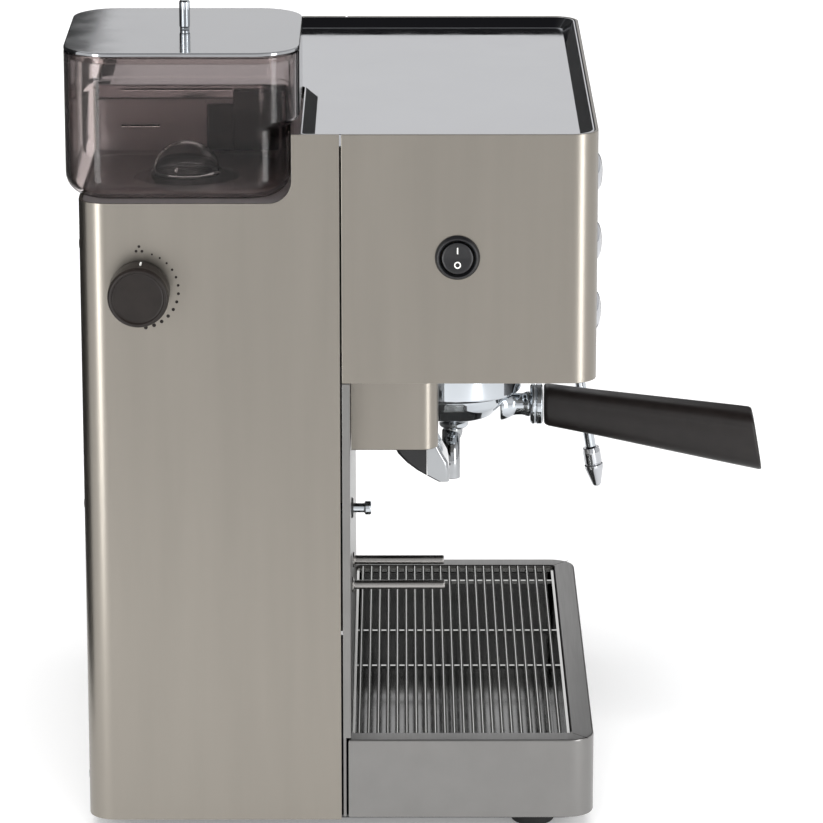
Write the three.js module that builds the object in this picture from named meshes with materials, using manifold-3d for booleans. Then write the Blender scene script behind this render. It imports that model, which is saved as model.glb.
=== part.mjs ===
// Espresso machine with a built-in grinder. Millimetres, +Z up, the front faces -Y.
// The origin is on the table, under the middle of the machine's overall box.
import * as THREE from "three";
import { mergeVertices } from "three/addons/utils/BufferGeometryUtils.js";
import Module from "manifold-3d";

const wasm = await Module();
wasm.setup();

// Driving dimensions
const HALF = 160;            // half the casing's width
const BACK = 180;            // casing's back face
const FRONT = -87;           // upper housing's front face
const SEAM = 45.5;           // joint between the rear shell and the upper housing
const FLOOR = 10;            // casing's lower edge
const TOP = 381;             // casing's upper edge
const UNDER = 249.5;         // upper housing's lower edge
const SHEET = 1.6;           // steel sheet
const GAP = 0.35;            // air between neighbours
const CORNER = 14;           // casing's upright corners

const NOTCH = { x: -36, y: 65.6, z: 345 };       // casing's cut-out for the hopper
const HOPPER = { x0: -160, x1: -36.6, y0: 66.2, y1: 187, top: 420.5, step: 4.7, wall: 2.2, corner: 24 };
const GRINDER = { x: -98, y: 126.5, r: 38 };
const KNOB = { y: 148.6, z: 299.5, r: 15.7, reach: 18.4 };
const STEAM = { y: -40, z: 315 };
const SWITCH = { y: -14.7, z: 316.6, r: 11.7 };
const BUTTONS = { x: -75, z: [342.6, 305.2, 267.3], r: 10.5, reach: 5.3 };
const GAUGE = { x: 40, z: 318, r: 27 };
const PANEL = 40.8;          // column panel's front face
const CHUTE = { x: -98, half: 35, y: -5.3, z: 206 };
const FORK = { x: -98, pitch: 44, z: 128, y: -8.9, r: 2.45 };
const PLUNGER = { z: 164, y: 30.2, r: 2.5, head: 3.65 };
const GROUP = { x: 48, y: -15.4, z: 191 };
const HANDLE = { start: -65.8, end: -189.5, z0: 181, z1: 160.8 };
const WAND = { x: 130, y: -77, z: 245, tilt: 0.156, length: 138 };
const TRAY = { y0: -87.8, y1: 42.2, z0: 11, z1: 54.5, rim: 12 };

const LOOKS = {
  steel: { color: 0xa39e94, roughness: 0.38, metalness: 1 },
  polished: { color: 0xc4c6c8, roughness: 0.12, metalness: 1 },
  chrome: { color: 0xd0d4d8, roughness: 0.06, metalness: 1 },
  darkPlastic: { color: 0x3a322f, roughness: 0.5, metalness: 0 },
  black: { color: 0x18181a, roughness: 0.45, metalness: 0 },
  smoky: { color: 0x8d7f7e, roughness: 0.1, metalness: 0, transparent: true, opacity: 0.5 },
  clear: { color: 0xd8dcdc, roughness: 0.05, metalness: 0, transparent: true, opacity: 0.4 },
  white: { color: 0xe8e8e4, roughness: 0.5, metalness: 0 },
  rubber: { color: 0x1c1c1c, roughness: 0.9, metalness: 0 },
  brass: { color: 0xb08d4a, roughness: 0.35, metalness: 1 },
  red: { color: 0xb0281e, roughness: 0.5, metalness: 0 },
};

// --- Solids -------------------------------------------------------------------------------------

// A closed geometry as a solid, with its faces turned outwards.
function solid(geometry) {
  const bare = geometry.index ? geometry.toNonIndexed() : geometry.clone();
  const points = new THREE.BufferGeometry().setAttribute("position", bare.getAttribute("position"));
  const merged = mergeVertices(points, 1e-3);
  const at = merged.attributes.position.array;
  const corner = (i) => new THREE.Vector3(at[3 * i], at[3 * i + 1], at[3 * i + 2]);
  const triangles = [];
  let volume = 0;
  for (let i = 0; i < merged.index.count; i += 3) {
    const [a, b, c] = [0, 1, 2].map((k) => merged.index.getX(i + k));
    if (a === b || b === c || a === c) continue;
    triangles.push([a, b, c]);
    volume += corner(a).dot(corner(b).cross(corner(c)));
  }
  const facing = volume < 0 ? triangles.map(([a, b, c]) => [a, c, b]) : triangles;
  const mesh = new wasm.Mesh({ numProp: 3, vertProperties: at, triVerts: new Uint32Array(facing.flat()) });
  return new wasm.Manifold(mesh);
}

function geometryOf(made) {
  const mesh = made.getMesh();
  const flat = new THREE.BufferGeometry();
  flat.setAttribute("position", new THREE.BufferAttribute(Float32Array.from(mesh.vertProperties), 3));
  flat.setIndex(new THREE.BufferAttribute(Uint32Array.from(mesh.triVerts), 1));
  flat.computeVertexNormals();
  return flat;
}

function join(...made) {
  return made.reduce((whole, next) => whole.add(next));
}

function box(x0, x1, y0, y1, z0, z1) {
  const block = new THREE.BoxGeometry(x1 - x0, y1 - y0, z1 - z0);
  return solid(block.translate((x0 + x1) / 2, (y0 + y1) / 2, (z0 + z1) / 2));
}

// A closed outline through [x, y, radius] corners, with each rounded corner as an arc.
function outline(corners, steps = 4) {
  const count = corners.length;
  const at = (i) => new THREE.Vector2(...corners[(i + count) % count]);
  return corners.flatMap(([, , radius = 0], i) => {
    if (!radius) return [at(i)];
    const towards = at(i - 1).sub(at(i)).normalize();
    const away = at(i + 1).sub(at(i)).normalize();
    const half = Math.acos(towards.dot(away)) / 2;
    const middle = towards.clone().add(away).normalize();
    const centre = at(i).addScaledVector(middle, radius / Math.sin(half));
    const first = at(i).addScaledVector(towards, radius / Math.tan(half)).sub(centre).angle();
    const last = at(i).addScaledVector(away, radius / Math.tan(half)).sub(centre).angle();
    const turn = ((last - first + 3 * Math.PI) % (2 * Math.PI)) - Math.PI;
    return Array.from({ length: steps + 1 }, (_, k) => {
      const angle = first + (turn * k) / steps;
      return new THREE.Vector2(Math.cos(angle), Math.sin(angle)).multiplyScalar(radius).add(centre);
    });
  });
}

function rectangle(x0, x1, y0, y1, radius, steps = 4) {
  return outline([[x0, y0, radius], [x1, y0, radius], [x1, y1, radius], [x0, y1, radius]], steps);
}

function prism(points, z0, z1) {
  const shape = new THREE.Shape(points);
  return solid(new THREE.ExtrudeGeometry(shape, { depth: z1 - z0, bevelEnabled: false }).translate(0, 0, z0));
}

// A solid through flat rings of the same number of points.
function loft(rings) {
  const count = rings[0].length;
  const index = [];
  for (let k = 0; k + 1 < rings.length; k++) {
    for (let i = 0; i < count; i++) {
      const a = k * count + i;
      const b = k * count + ((i + 1) % count);
      index.push(a, b, b + count, a, b + count, a + count);
    }
  }
  for (const k of [0, rings.length - 1]) {
    const ring = rings[k];
    const normal = new THREE.Vector3();
    ring.forEach((p, i) => normal.add(p.clone().cross(ring[(i + 1) % count])));
    normal.normalize();
    const side = Math.abs(normal.z) > 0.7 ? new THREE.Vector3(1, 0, 0) : new THREE.Vector3(0, 0, 1);
    const u = side.cross(normal).normalize();
    const v = normal.clone().cross(u);
    const flat = ring.map((p) => new THREE.Vector2(p.dot(u), p.dot(v)));
    for (const [a, b, c] of THREE.ShapeUtils.triangulateShape(flat, [])) {
      const up = flat[b].clone().sub(flat[a]).cross(flat[c].clone().sub(flat[a])) > 0;
      const turned = up === (k > 0) ? [a, b, c] : [a, c, b];
      index.push(...turned.map((i) => i + k * count));
    }
  }
  const skin = new THREE.BufferGeometry();
  skin.setAttribute("position", new THREE.Float32BufferAttribute(rings.flat().flatMap((p) => [p.x, p.y, p.z]), 3));
  skin.setIndex(index);
  return solid(skin);
}

function level(points, z) {
  return points.map((p) => new THREE.Vector3(p.x, p.y, z));
}

// A body of revolution. The profile is [radius, height] points along the axis "x", "y" or "z".
function turned(profile, axis, x, y, z, segments = 24) {
  const made = new THREE.LatheGeometry(profile.map(([r, h]) => new THREE.Vector2(r, h)), segments);
  if (axis === "z") made.rotateX(Math.PI / 2);
  if (axis === "x") made.rotateZ(-Math.PI / 2);
  return solid(made.translate(x, y, z));
}

function disc(axis, radius, from, to, x, y, z, segments = 24) {
  return turned([[0, from], [radius, from], [radius, to], [0, to]], axis, x, y, z, segments);
}

function ring(axis, inner, outer, from, to, x, y, z, segments = 24) {
  const profile = [[inner, from], [outer, from], [outer, to], [inner, to], [inner, from]];
  return turned(profile, axis, x, y, z, segments);
}

function tube(points, radius, sides = 12, steps = 16) {
  const curve = new THREE.CatmullRomCurve3(points.map((p) => new THREE.Vector3(...p)));
  const circle = new THREE.Shape();
  circle.absarc(0, 0, radius, 0, 2 * Math.PI);
  const options = { steps, extrudePath: curve, bevelEnabled: false, curveSegments: sides / 2 };
  return solid(new THREE.ExtrudeGeometry(circle, options));
}

const machine = new THREE.Group();
machine.name = "espresso_machine";

function place(name, made, look) {
  const mesh = new THREE.Mesh(geometryOf(made), new THREE.MeshStandardMaterial(LOOKS[look]));
  mesh.name = name;
  machine.add(mesh);
}

// --- Casing -------------------------------------------------------------------------------------

// A folded U of sheet in plan: two sides and one end with rounded corners.
function folded(open, end) {
  const inward = Math.sign(open - end) * SHEET;
  return outline([
    [-HALF, open], [-HALF, end, CORNER], [HALF, end, CORNER], [HALF, open],
    [HALF - SHEET, open], [HALF - SHEET, end + inward, CORNER - SHEET],
    [-HALF + SHEET, end + inward, CORNER - SHEET], [-HALF + SHEET, open],
  ]);
}

function rearShell() {
  let shell = prism(folded(SEAM + GAP, BACK), FLOOR, TOP);
  const notchSide = outline([
    [TOP + 5, HOPPER.y0 + HOPPER.step - 0.6], [NOTCH.z, HOPPER.y0 + HOPPER.step - 0.6, 12],
    [NOTCH.z, BACK + 5], [TOP + 5, BACK + 5],
  ]);
  const across = HOPPER.x1 - HOPPER.step + 0.6 + HALF + 5;
  const notch = prism(notchSide, 0, across).rotate([0, -90, 0]).scale([-1, 1, 1]).translate([-HALF - 5, 0, 0]);
  shell = shell.subtract(notch);
  shell = shell.subtract(disc("x", 5, -5, 5, -HALF, KNOB.y, KNOB.z, 16));
  for (let row = 0; row < 8; row++) {
    const z = 200 + 14 * row;
    shell = shell.subtract(box(20, 120, BACK - 5, BACK + 5, z, z + 4));
  }
  return shell.subtract(box(84, 116, BACK - 5, BACK + 5, 42, 66));
}

function hopperDeck() {
  const edge = HALF - SHEET - GAP;
  const inner = BACK - SHEET - GAP;
  const wall = 1.2;
  const plan = outline([
    [-edge, NOTCH.y - wall], [NOTCH.x + wall, NOTCH.y - wall], [NOTCH.x + wall, inner], [-edge, inner, CORNER - SHEET],
  ]);
  const deck = prism(plan, NOTCH.z - 2, NOTCH.z - 0.4);
  const sideWall = box(NOTCH.x, NOTCH.x + wall, NOTCH.y - wall, inner, NOTCH.z - 2, TOP - 7.4);
  const frontWall = box(-edge, NOTCH.x + wall, NOTCH.y - wall, NOTCH.y, NOTCH.z - 2, TOP - 7.4);
  return join(deck, sideWall, frontWall).subtract(disc("z", 28, -5, 5, GRINDER.x, GRINDER.y, NOTCH.z));
}

function columnPanel() {
  const edge = HALF - SHEET - GAP;
  const back = SEAM - 0.6;
  const upper = box(-edge - SHEET, edge + SHEET, PANEL, back, TRAY.z1 + 1, UNDER - GAP);
  const lower = box(-edge, edge, PANEL + 2.4, back, FLOOR + 1, TRAY.z1 + 2);
  const chuteWindow = box(CHUTE.x - 15, CHUTE.x + 15, PANEL - 5, back + 5, 219, 246);
  const bore = disc("y", PLUNGER.r + 0.4, -8, 8, FORK.x, PANEL, PLUNGER.z, 16);
  return join(upper, lower).subtract(chuteWindow).subtract(bore);
}

function upperHousing() {
  let housing = prism(folded(SEAM - 0.6, FRONT), UNDER, TOP);
  for (const z of BUTTONS.z) housing = housing.subtract(disc("y", BUTTONS.r + 0.7, -5, 5, BUTTONS.x, FRONT, z));
  housing = housing.subtract(disc("x", 9.3, -5, 5, -HALF, SWITCH.y, SWITCH.z));
  return housing.subtract(disc("x", 5, -5, 5, HALF, STEAM.y, STEAM.z, 16));
}

function housingFloor() {
  const edge = HALF - SHEET - GAP;
  const plate = prism(rectangle(-edge, edge, FRONT + SHEET + GAP, SEAM - 1, CORNER - SHEET), UNDER + 0.3, UNDER + 2.3);
  return plate
    .subtract(disc("z", 35.5, -5, 5, GROUP.x, GROUP.y, UNDER))
    .subtract(disc("z", 7.4, -9, 9, WAND.x, WAND.y, UNDER));
}

// The tray's outline in plan, set in from the casing: a rectangle without the hopper's corner.
function cupTrayPlan(inset) {
  const side = HALF - SHEET - GAP - inset;
  const front = FRONT + SHEET + GAP + inset;
  const back = BACK - SHEET - GAP - inset;
  const soft = Math.max(CORNER - SHEET - inset, 3);
  return outline([
    [-side, front, soft], [side, front, soft], [side, back, soft], [NOTCH.x + inset, back, 2],
    [NOTCH.x + inset, NOTCH.y - inset, 5], [-side, NOTCH.y - inset, 2],
  ]);
}

function cupTray() {
  const deep = 5.4;
  const block = prism(cupTrayPlan(0), TOP - deep - 1.3, TOP - 0.2);
  const well = loft([
    level(cupTrayPlan(7), TOP - deep),
    level(cupTrayPlan(0.6), TOP - 0.1),
    level(cupTrayPlan(0.6), TOP + 3),
  ]);
  return block.subtract(well);
}

function foot(x, y) {
  const profile = [[0, 0], [10.5, 0], [11.5, 1], [12, 6.5], [9, FLOOR - 2.3], [0, FLOOR - 2.3]];
  return turned(profile, "z", x, y, 0, 14);
}

function casing() {
  place("rear_shell", rearShell(), "steel");
  place("hopper_deck", hopperDeck(), "steel");
  place("column_front_panel", columnPanel(), "steel");
  place("upper_housing", upperHousing(), "steel");
  place("housing_floor", housingFloor(), "steel");
  place("cup_tray", cupTray(), "polished");
  place("base_plate", prism(rectangle(-152, 152, -80, 174, 8), FLOOR - 2, FLOOR), "black");
  [[-132, -56], [132, -56], [-108, 150], [108, 150]].forEach(([x, y], i) => {
    place(`foot_${i + 1}`, foot(x, y), "rubber");
  });
  const inlet = box(85, 115, BACK - 22, BACK + 2, 43, 65).subtract(box(89, 111, BACK - 12, BACK + 5, 47, 61));
  place("cord_inlet", inlet, "black");
}

// --- Hopper and grinder -------------------------------------------------------------------------

// The hopper's outline in plan. The part below the casing's top is set in by the step on two sides.
function hopperPlan(inset, out) {
  const x1 = HOPPER.x1 - (1 - out) * HOPPER.step - inset;
  const y0 = HOPPER.y0 + (1 - out) * HOPPER.step + inset;
  const soft = Math.max(HOPPER.corner - inset, 8);
  return rectangle(HOPPER.x0 + inset, x1, y0, HOPPER.y1 - inset, soft);
}

// Rings of the hopper's skin from its rounded bottom edge to its top.
function hopperRings(inset, bottom, top) {
  const round = 12 - inset;
  const curved = [0, 1, 2, 3, 4].map((k) => {
    const angle = (Math.PI / 2) * (k / 4);
    return level(hopperPlan(inset + round * (1 - Math.sin(angle)), 0), bottom + round * (1 - Math.cos(angle)));
  });
  const stepUp = [level(hopperPlan(inset, 0), TOP + 0.8), level(hopperPlan(inset, 1), TOP + 5.5)];
  return [...curved, ...stepUp, level(hopperPlan(inset, 1), top)];
}

function hopperTank() {
  const bottom = NOTCH.z + 0.2;
  const shell = loft(hopperRings(0, bottom, HOPPER.top));
  const room = loft(hopperRings(HOPPER.wall, bottom + HOPPER.wall, HOPPER.top + 5));
  const throat = disc("z", 24, -16, 1, GRINDER.x, GRINDER.y, NOTCH.z + 1);
  const bore = disc("z", 12, -30, 10, GRINDER.x, GRINDER.y, NOTCH.z);
  return join(shell.subtract(room), throat).subtract(bore);
}

function hopperLid() {
  const z = HOPPER.top + GAP;
  const plate = loft([
    level(hopperPlan(0.5, 1), z), level(hopperPlan(0, 1), z + 0.4),
    level(hopperPlan(0, 1), z + 1.9), level(hopperPlan(0.5, 1), z + 2.4),
  ]);
  const lip = loft([level(hopperPlan(3, 1), z - 4), level(hopperPlan(3, 1), z + 1)]);
  const hollow = loft([level(hopperPlan(4.5, 1), z - 9), level(hopperPlan(4.5, 1), z)]);
  return join(plate, lip.subtract(hollow));
}

function lidPin() {
  const foot = HOPPER.top + 3.1;
  const r = 2.75;
  const profile = [[0, 0], [r - 0.3, 0], [r - 0.3, 1], [r, 1.4], [r, 14], [r - 0.8, 15], [0, 15.4]];
  return turned(profile, "z", GRINDER.x, GRINDER.y, foot, 16);
}

function hopperGuard() {
  const z = NOTCH.z + HOPPER.wall + 0.6;
  const dome = Array.from({ length: 5 }, (_, k) => {
    const angle = (Math.PI / 2) * (k / 4);
    return [17.2 * Math.cos(angle), 2 + 14.5 * Math.sin(angle)];
  });
  const inside = dome.slice().reverse().map(([r, h]) => [r * 0.89, h - 1.6]);
  const profile = [[15.3, 0], [18.6, 0], [18.6, 1.4], [17.2, 2], ...dome.slice(1), ...inside, [15.3, 0]];
  return turned(profile, "z", GRINDER.x, GRINDER.y, z, 20);
}

function grinderBody() {
  const cup = turned([
    [0, 262], [GRINDER.r - 4, 262], [GRINDER.r, 266], [GRINDER.r, NOTCH.z - 2.4], [31, NOTCH.z - 2.4],
    [31, 298], [0, 298],
  ], "z", GRINDER.x, GRINDER.y, 0);
  const duct = (half, trim) => loft([
    [104, 274, 292], [64, 226, 246], [14, 221.5, 244],
  ].map(([y, low, high]) => [
    new THREE.Vector3(GRINDER.x - half, y, low + trim), new THREE.Vector3(GRINDER.x + half, y, low + trim),
    new THREE.Vector3(GRINDER.x + half, y, high - trim), new THREE.Vector3(GRINDER.x - half, y, high - trim),
  ]));
  const bore = box(GRINDER.x - 10, GRINDER.x + 10, -50, 14.1, 224, 242);
  const feed = disc("z", 6, 280, 300, GRINDER.x, GRINDER.y - 26, 0, 16);
  const shaft = disc("z", 6, 255, 300, GRINDER.x, GRINDER.y, 0, 16);
  return join(cup, duct(13, 0)).subtract(duct(11, 2)).subtract(bore).subtract(feed).subtract(shaft);
}

function lowerBurr() {
  const cone = turned([[0, 0], [27, 0], [27, 3], [24, 6], [8, 13], [0, 13]], "z", GRINDER.x, GRINDER.y, 299.5);
  const spindle = disc("z", 5.2, 262.5, 301, GRINDER.x, GRINDER.y, 0, 16);
  let burr = join(cone, spindle);
  for (let k = 0; k < 8; k++) {
    const groove = box(9, 30, -1, 1, 304, 320).rotate([0, 0, k * 45]).translate([GRINDER.x, GRINDER.y, 0]);
    burr = burr.subtract(groove);
  }
  return burr;
}

function burrCarrier() {
  const profile = [[26, 318], [30.5, 318], [30.5, 327], [13, 327], [10, 321], [26, 318]];
  return turned(profile, "z", GRINDER.x, GRINDER.y, 0);
}

function grinderMotor() {
  const profile = [[0, 150], [20, 150], [34, 156], [34, 246], [20, 254], [7, 254], [7, 259], [0, 259]];
  return turned(profile, "z", GRINDER.x, GRINDER.y, 0);
}

// A side knob: a skirt against the casing, a gently tapered grip, a rim ring and a short shaft.
function knob(side, y, z, grooves) {
  const r = KNOB.r;
  const far = KNOB.reach;
  const profile = [
    [0, -16], [4.2, -16], [4.2, 0.6], [r - 1.2, 0.6], [r - 0.2, 2], [r, far - 1.5], [r - 0.8, far],
    [r - 2.2, far], [r - 2.6, far - 0.9], [0, far - 0.9],
  ];
  let made = turned(profile, "x", 0, 0, 0, 32);
  for (let k = 0; k < grooves; k++) {
    const cut = disc("x", 1.3, 3, far + 3, 0, r + 0.4, 0, 6).rotate([(360 * (k + 0.5)) / grooves, 0, 0]);
    made = made.subtract(cut);
  }
  return made.scale([side, 1, 1]).translate([side * HALF, y, z]);
}

function chuteCover() {
  const top = UNDER - 0.1;
  const plan = (inset) => outline([
    [CHUTE.x - CHUTE.half + inset, PANEL - GAP], [CHUTE.x - CHUTE.half + inset, CHUTE.y + inset, 6 - inset],
    [CHUTE.x + CHUTE.half - inset, CHUTE.y + inset, 6 - inset], [CHUTE.x + CHUTE.half - inset, PANEL - GAP],
  ]);
  const room = prism(plan(1.5), CHUTE.z - 5, top - 1.5);
  return prism(plan(0), CHUTE.z, top).subtract(room);
}

// The funnel under the cover: its back sweeps forwards to the tip, and its sides narrow downwards.
function chuteFunnel(trim) {
  const rings = [
    [12.6, -11.2, -5, 182], [13.2, -11.3, 0.5, 185.2], [13.8, -11.2, 6, 188.6], [14.4, -10.4, 11.5, 193],
    [15, -7.6, 16, 198], [15, -5, 18.4, 203], [15.2, -3.2, 20, 205.3], [16, -3, 24, 213], [18, -2.6, 30, 220.8],
  ];
  const last = rings.length - 1;
  return loft(rings.map(([half, front, back, z], i) => {
    const beyond = i === 0 ? -trim : i === last ? trim : 0;
    return level(
      rectangle(CHUTE.x - half + trim, CHUTE.x + half - trim, front + trim, back - trim, 2.4 - trim),
      z + beyond,
    );
  }));
}

function funnelShell() {
  return chuteFunnel(0).subtract(chuteFunnel(1.4));
}

function chuteScoop() {
  return funnelShell().subtract(box(CHUTE.x - 30, CHUTE.x + 30, -20, 0.7, 170, CHUTE.z - GAP));
}

function chuteLip() {
  return funnelShell().intersect(box(CHUTE.x - 30, CHUTE.x + 30, -20, 0.7 - GAP, 170, CHUTE.z - 2 * GAP));
}

function forkRod(x) {
  const r = FORK.r;
  const end = PANEL - FORK.y - GAP;
  const profile = [[0, 0], [5.5, 0], [5.5, 1.6], [r, 2.2], [r, end - r], [0.75 * r, end - 0.5 * r], [0, end]];
  return turned(profile.map(([a, h]) => [a, -h]), "y", x, PANEL - GAP, FORK.z, 12);
}

function dosingPlunger() {
  const reach = PANEL - PLUNGER.y;
  const { r, head } = PLUNGER;
  const profile = [
    [0, -12], [r, -12], [r, reach - 3.4], [head, reach - 3], [head, reach - 0.8], [head - 0.9, reach], [0, reach],
  ];
  return turned(profile.map(([a, h]) => [a, -h]), "y", FORK.x, PANEL, PLUNGER.z, 12);
}

function grinding() {
  place("hopper_tank", hopperTank(), "smoky");
  place("hopper_lid", hopperLid(), "polished");
  place("lid_pin", lidPin(), "chrome");
  place("hopper_guard", hopperGuard(), "clear");
  place("grinder_body", grinderBody(), "steel");
  place("lower_burr", lowerBurr(), "steel");
  place("burr_carrier", burrCarrier(), "steel");
  place("grinder_motor", grinderMotor(), "black");
  place("grind_knob", knob(-1, KNOB.y, KNOB.z, 0), "darkPlastic");
  place("chute_cover", chuteCover(), "steel");
  place("chute_scoop", chuteScoop(), "black");
  place("chute_lip", chuteLip(), "polished");
  place("fork_rod_1", forkRod(FORK.x - FORK.pitch / 2), "chrome");
  place("fork_rod_2", forkRod(FORK.x + FORK.pitch / 2), "chrome");
  place("dosing_plunger", dosingPlunger(), "chrome");
}

// --- Controls -----------------------------------------------------------------------------------

function rocker() {
  const r = 8.3;
  const ball = solid(new THREE.SphereGeometry(r, 20, 12));
  const face = new THREE.Shape([
    new THREE.Vector2(-3.4, -9), new THREE.Vector2(-2, 0), new THREE.Vector2(-3.4, 9),
    new THREE.Vector2(4.5, 9), new THREE.Vector2(4.5, -9),
  ]);
  const slab = new THREE.ExtrudeGeometry(face, { depth: 20, bevelEnabled: false }).translate(0, 0, -10);
  const made = ball.intersect(solid(slab.rotateX(Math.PI / 2)));
  return made.rotate([0, 6, 0]).translate([-HALF - 0.7, SWITCH.y, SWITCH.z]);
}

function buttonDome() {
  const { r, reach } = BUTTONS;
  const dome = Array.from({ length: 6 }, (_, k) => {
    const angle = (Math.PI / 2) * (k / 5);
    return [r * Math.cos(angle), 2.4 + (reach - 2.4) * Math.sin(angle)];
  });
  const profile = [[0, -9], [r, -9], ...dome.slice(0, -1), [0, reach]];
  return profile.map(([a, h]) => [a, -h]);
}

function controls() {
  const bezel = [[8.7, 0.3], [SWITCH.r, 0.3], [SWITCH.r - 0.4, 1.9], [SWITCH.r - 1.6, 2.7], [8.7, 1.8], [8.7, 0.3]];
  const ringProfile = bezel.map(([r, h]) => [r, -h]);
  place("switch_bezel", turned(ringProfile, "x", -HALF, SWITCH.y, SWITCH.z, 24), "black");
  place("switch_rocker", rocker(), "black");
  BUTTONS.z.forEach((z, i) => {
    const edge = BUTTONS.r + 0.4;
    const collar = [[edge, -0.3], [13, -0.3], [13, -1.8], [12.2, -2.5], [edge, -2.5], [edge, -0.3]];
    place(`button_bezel_${i + 1}`, turned(collar, "y", BUTTONS.x, FRONT, z), "chrome");
    place(`button_${i + 1}`, turned(buttonDome(), "y", BUTTONS.x, FRONT, z), "polished");
  });
  const { x, z, r } = GAUGE;
  const rim = [
    [r - 3, -0.3], [r, -0.3], [r, -4.4], [r - 1, -5.2], [r - 3.6, -5.2], [r - 3.6, -4.6], [r - 3, -4.6], [r - 3, -0.3],
  ];
  place("gauge_bezel", turned(rim, "y", x, FRONT, z, 28), "chrome");
  place("gauge_dial", disc("y", r - 3.4, -1.2, -0.4, x, FRONT, z, 28), "white");
  place("gauge_glass", disc("y", r - 3.4, -4.2, -3.2, x, FRONT, z, 28), "clear");
  const hub = disc("y", 2.2, -2.6, -1.6, 0, 0, 0, 16);
  const hand = box(-0.7, 0.7, -2.5, -1.8, -5, r - 7);
  place("gauge_needle", join(hub, hand).rotate([0, 225, 0]).translate([x, FRONT, z]), "red");
}

// --- Brewing and steam --------------------------------------------------------------------------

function groupHead() {
  const z = GROUP.z;
  const profile = [
    [0, 264], [28, 264], [34, 258], [34, z + 20], [38, z + 15], [38, z], [31, z], [31, z + 2.6],
    [35.2, z + 2.6], [35.2, z + 7.4], [31, z + 7.4], [31, z + 14.5], [0, z + 14.5],
  ];
  let head = turned(profile, "z", GROUP.x, GROUP.y, 0, 32);
  // Two ways in for the filter holder's ears, a part turn from where they lock.
  const entry = box(-40, 40, -8, 8, z - 1, z + 3).intersect(disc("z", 35.2, z - 1, z + 3, 0, 0, 0, 32));
  head = head.subtract(entry.rotate([0, 0, -45]).translate([GROUP.x, GROUP.y, 0]));
  return head;
}

function portafilterBody() {
  const z = GROUP.z;
  const profile = [
    [0, z - 18], [13, z - 17.6], [22, z - 14.5], [28, z - 8], [30, z - 2], [30, z + 6.6], [28, z + 6.6],
    [28, z - 2], [25, z - 9], [19, z - 13], [8, z - 15], [0, z - 15],
  ];
  const bowl = turned(profile, "z", GROUP.x, GROUP.y, 0, 32);
  const ears = box(-34.6, 34.6, -6.5, 6.5, z + 3, z + 6.6)
    .intersect(ring("z", 28.6, 34.6, z + 2, z + 8, 0, 0, 0, 48))
    .translate([GROUP.x, GROUP.y, 0]);
  const outlet = disc("z", 8, z - 23, z - 16.5, GROUP.x, GROUP.y, 0, 24);
  const drain = disc("z", 3, z - 30, z - 10, GROUP.x, GROUP.y, 0, 16);
  const stem = disc("y", 6, HANDLE.start + 8, GROUP.y - 27.5, GROUP.x, 0, 181, 24);
  const bared = stem.subtract(disc("z", 28.6, 0, 300, GROUP.x, GROUP.y, 0, 32));
  return join(bowl, ears, outlet, bared).subtract(drain);
}

function filterBasket() {
  const z = GROUP.z;
  const profile = [
    [0, z - 7.2], [22, z - 7.2], [24, z - 4], [26.6, z + 6.9], [30, z + 6.9], [30, z + 7.6], [25.8, z + 7.6],
    [23.2, z - 3.6], [21.6, z - 6.4], [0, z - 6.4],
  ];
  return turned(profile, "z", GROUP.x, GROUP.y, 0, 28);
}

function spout() {
  const z = GROUP.z - 23.3;
  const fall = 26.5;
  const arm = (side) => tube([
    [side * 0.2, 0, -3], [side * 5, 0, -5.5], [side * 10, 0, -10], [side * 12, 0, -17], [side * 12, 0, -fall],
  ], 3.4, 8, 8);
  const block = turned([[0, 0], [6.5, 0], [7.5, -1.5], [6.5, -5.5], [3, -8], [0, -8]].reverse(), "z", 0, 0, 0, 24);
  return join(block, arm(-1), arm(1)).translate([GROUP.x, GROUP.y, z]);
}

// One section of the grip across its length: a rounded rectangle at a slant.
function gripSection(y, z, width, height, lean) {
  const soft = 0.42 * Math.min(width, height);
  return rectangle(-width / 2, width / 2, -height / 2, height / 2, soft, 5).map(
    (p) => new THREE.Vector3(GROUP.x + p.x, y + lean * p.y, z + p.y),
  );
}

function handleGrip() {
  const { start, end, z0, z1 } = HANDLE;
  const stations = [
    [0, 20, 21, 0.3], [0.03, 21.5, 22.6, 0.3], [0.3, 23, 25.4, 0], [0.6, 25, 29.2, 0], [0.85, 27, 32.6, 0],
    [0.985, 28, 34.2, 0], [1, 26.5, 32.6, 0],
  ];
  return loft(stations.map(([t, width, height]) => {
    const y = start - GAP + (end + 3 - start + GAP) * t;
    return gripSection(y, z0 + (z1 - z0) * t, width, height, 0.17 * t);
  }));
}

function ferrule() {
  const profile = [[6.3, 0.5], [10.4, 0.5], [11.4, 1.2], [11.4, 6.8], [10.4, 7.6], [6.3, 7.6], [6.3, 0.5]];
  return turned(profile.map(([r, h]) => [r, h]), "y", GROUP.x, HANDLE.start, 181, 28);
}

function wandPoint(along) {
  const lean = Math.hypot(1, WAND.tilt);
  return [WAND.x, WAND.y - (WAND.tilt * along) / lean, WAND.z - along / lean];
}

// A body of revolution about the wand, from its profile of [radius, distance from the ball].
function onWand(profile, segments) {
  const made = turned(profile.map(([r, h]) => [r, -h]), "z", 0, 0, 0, segments);
  const degrees = -THREE.MathUtils.radToDeg(Math.atan(WAND.tilt));
  return made.rotate([degrees, 0, 0]).translate([WAND.x, WAND.y, WAND.z]);
}

function wandBall() {
  const ball = solid(new THREE.SphereGeometry(6.5, 16, 10)).translate([WAND.x, WAND.y, WAND.z]);
  return join(ball, disc("z", 4, 4, 14, WAND.x, WAND.y, WAND.z, 20));
}

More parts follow.
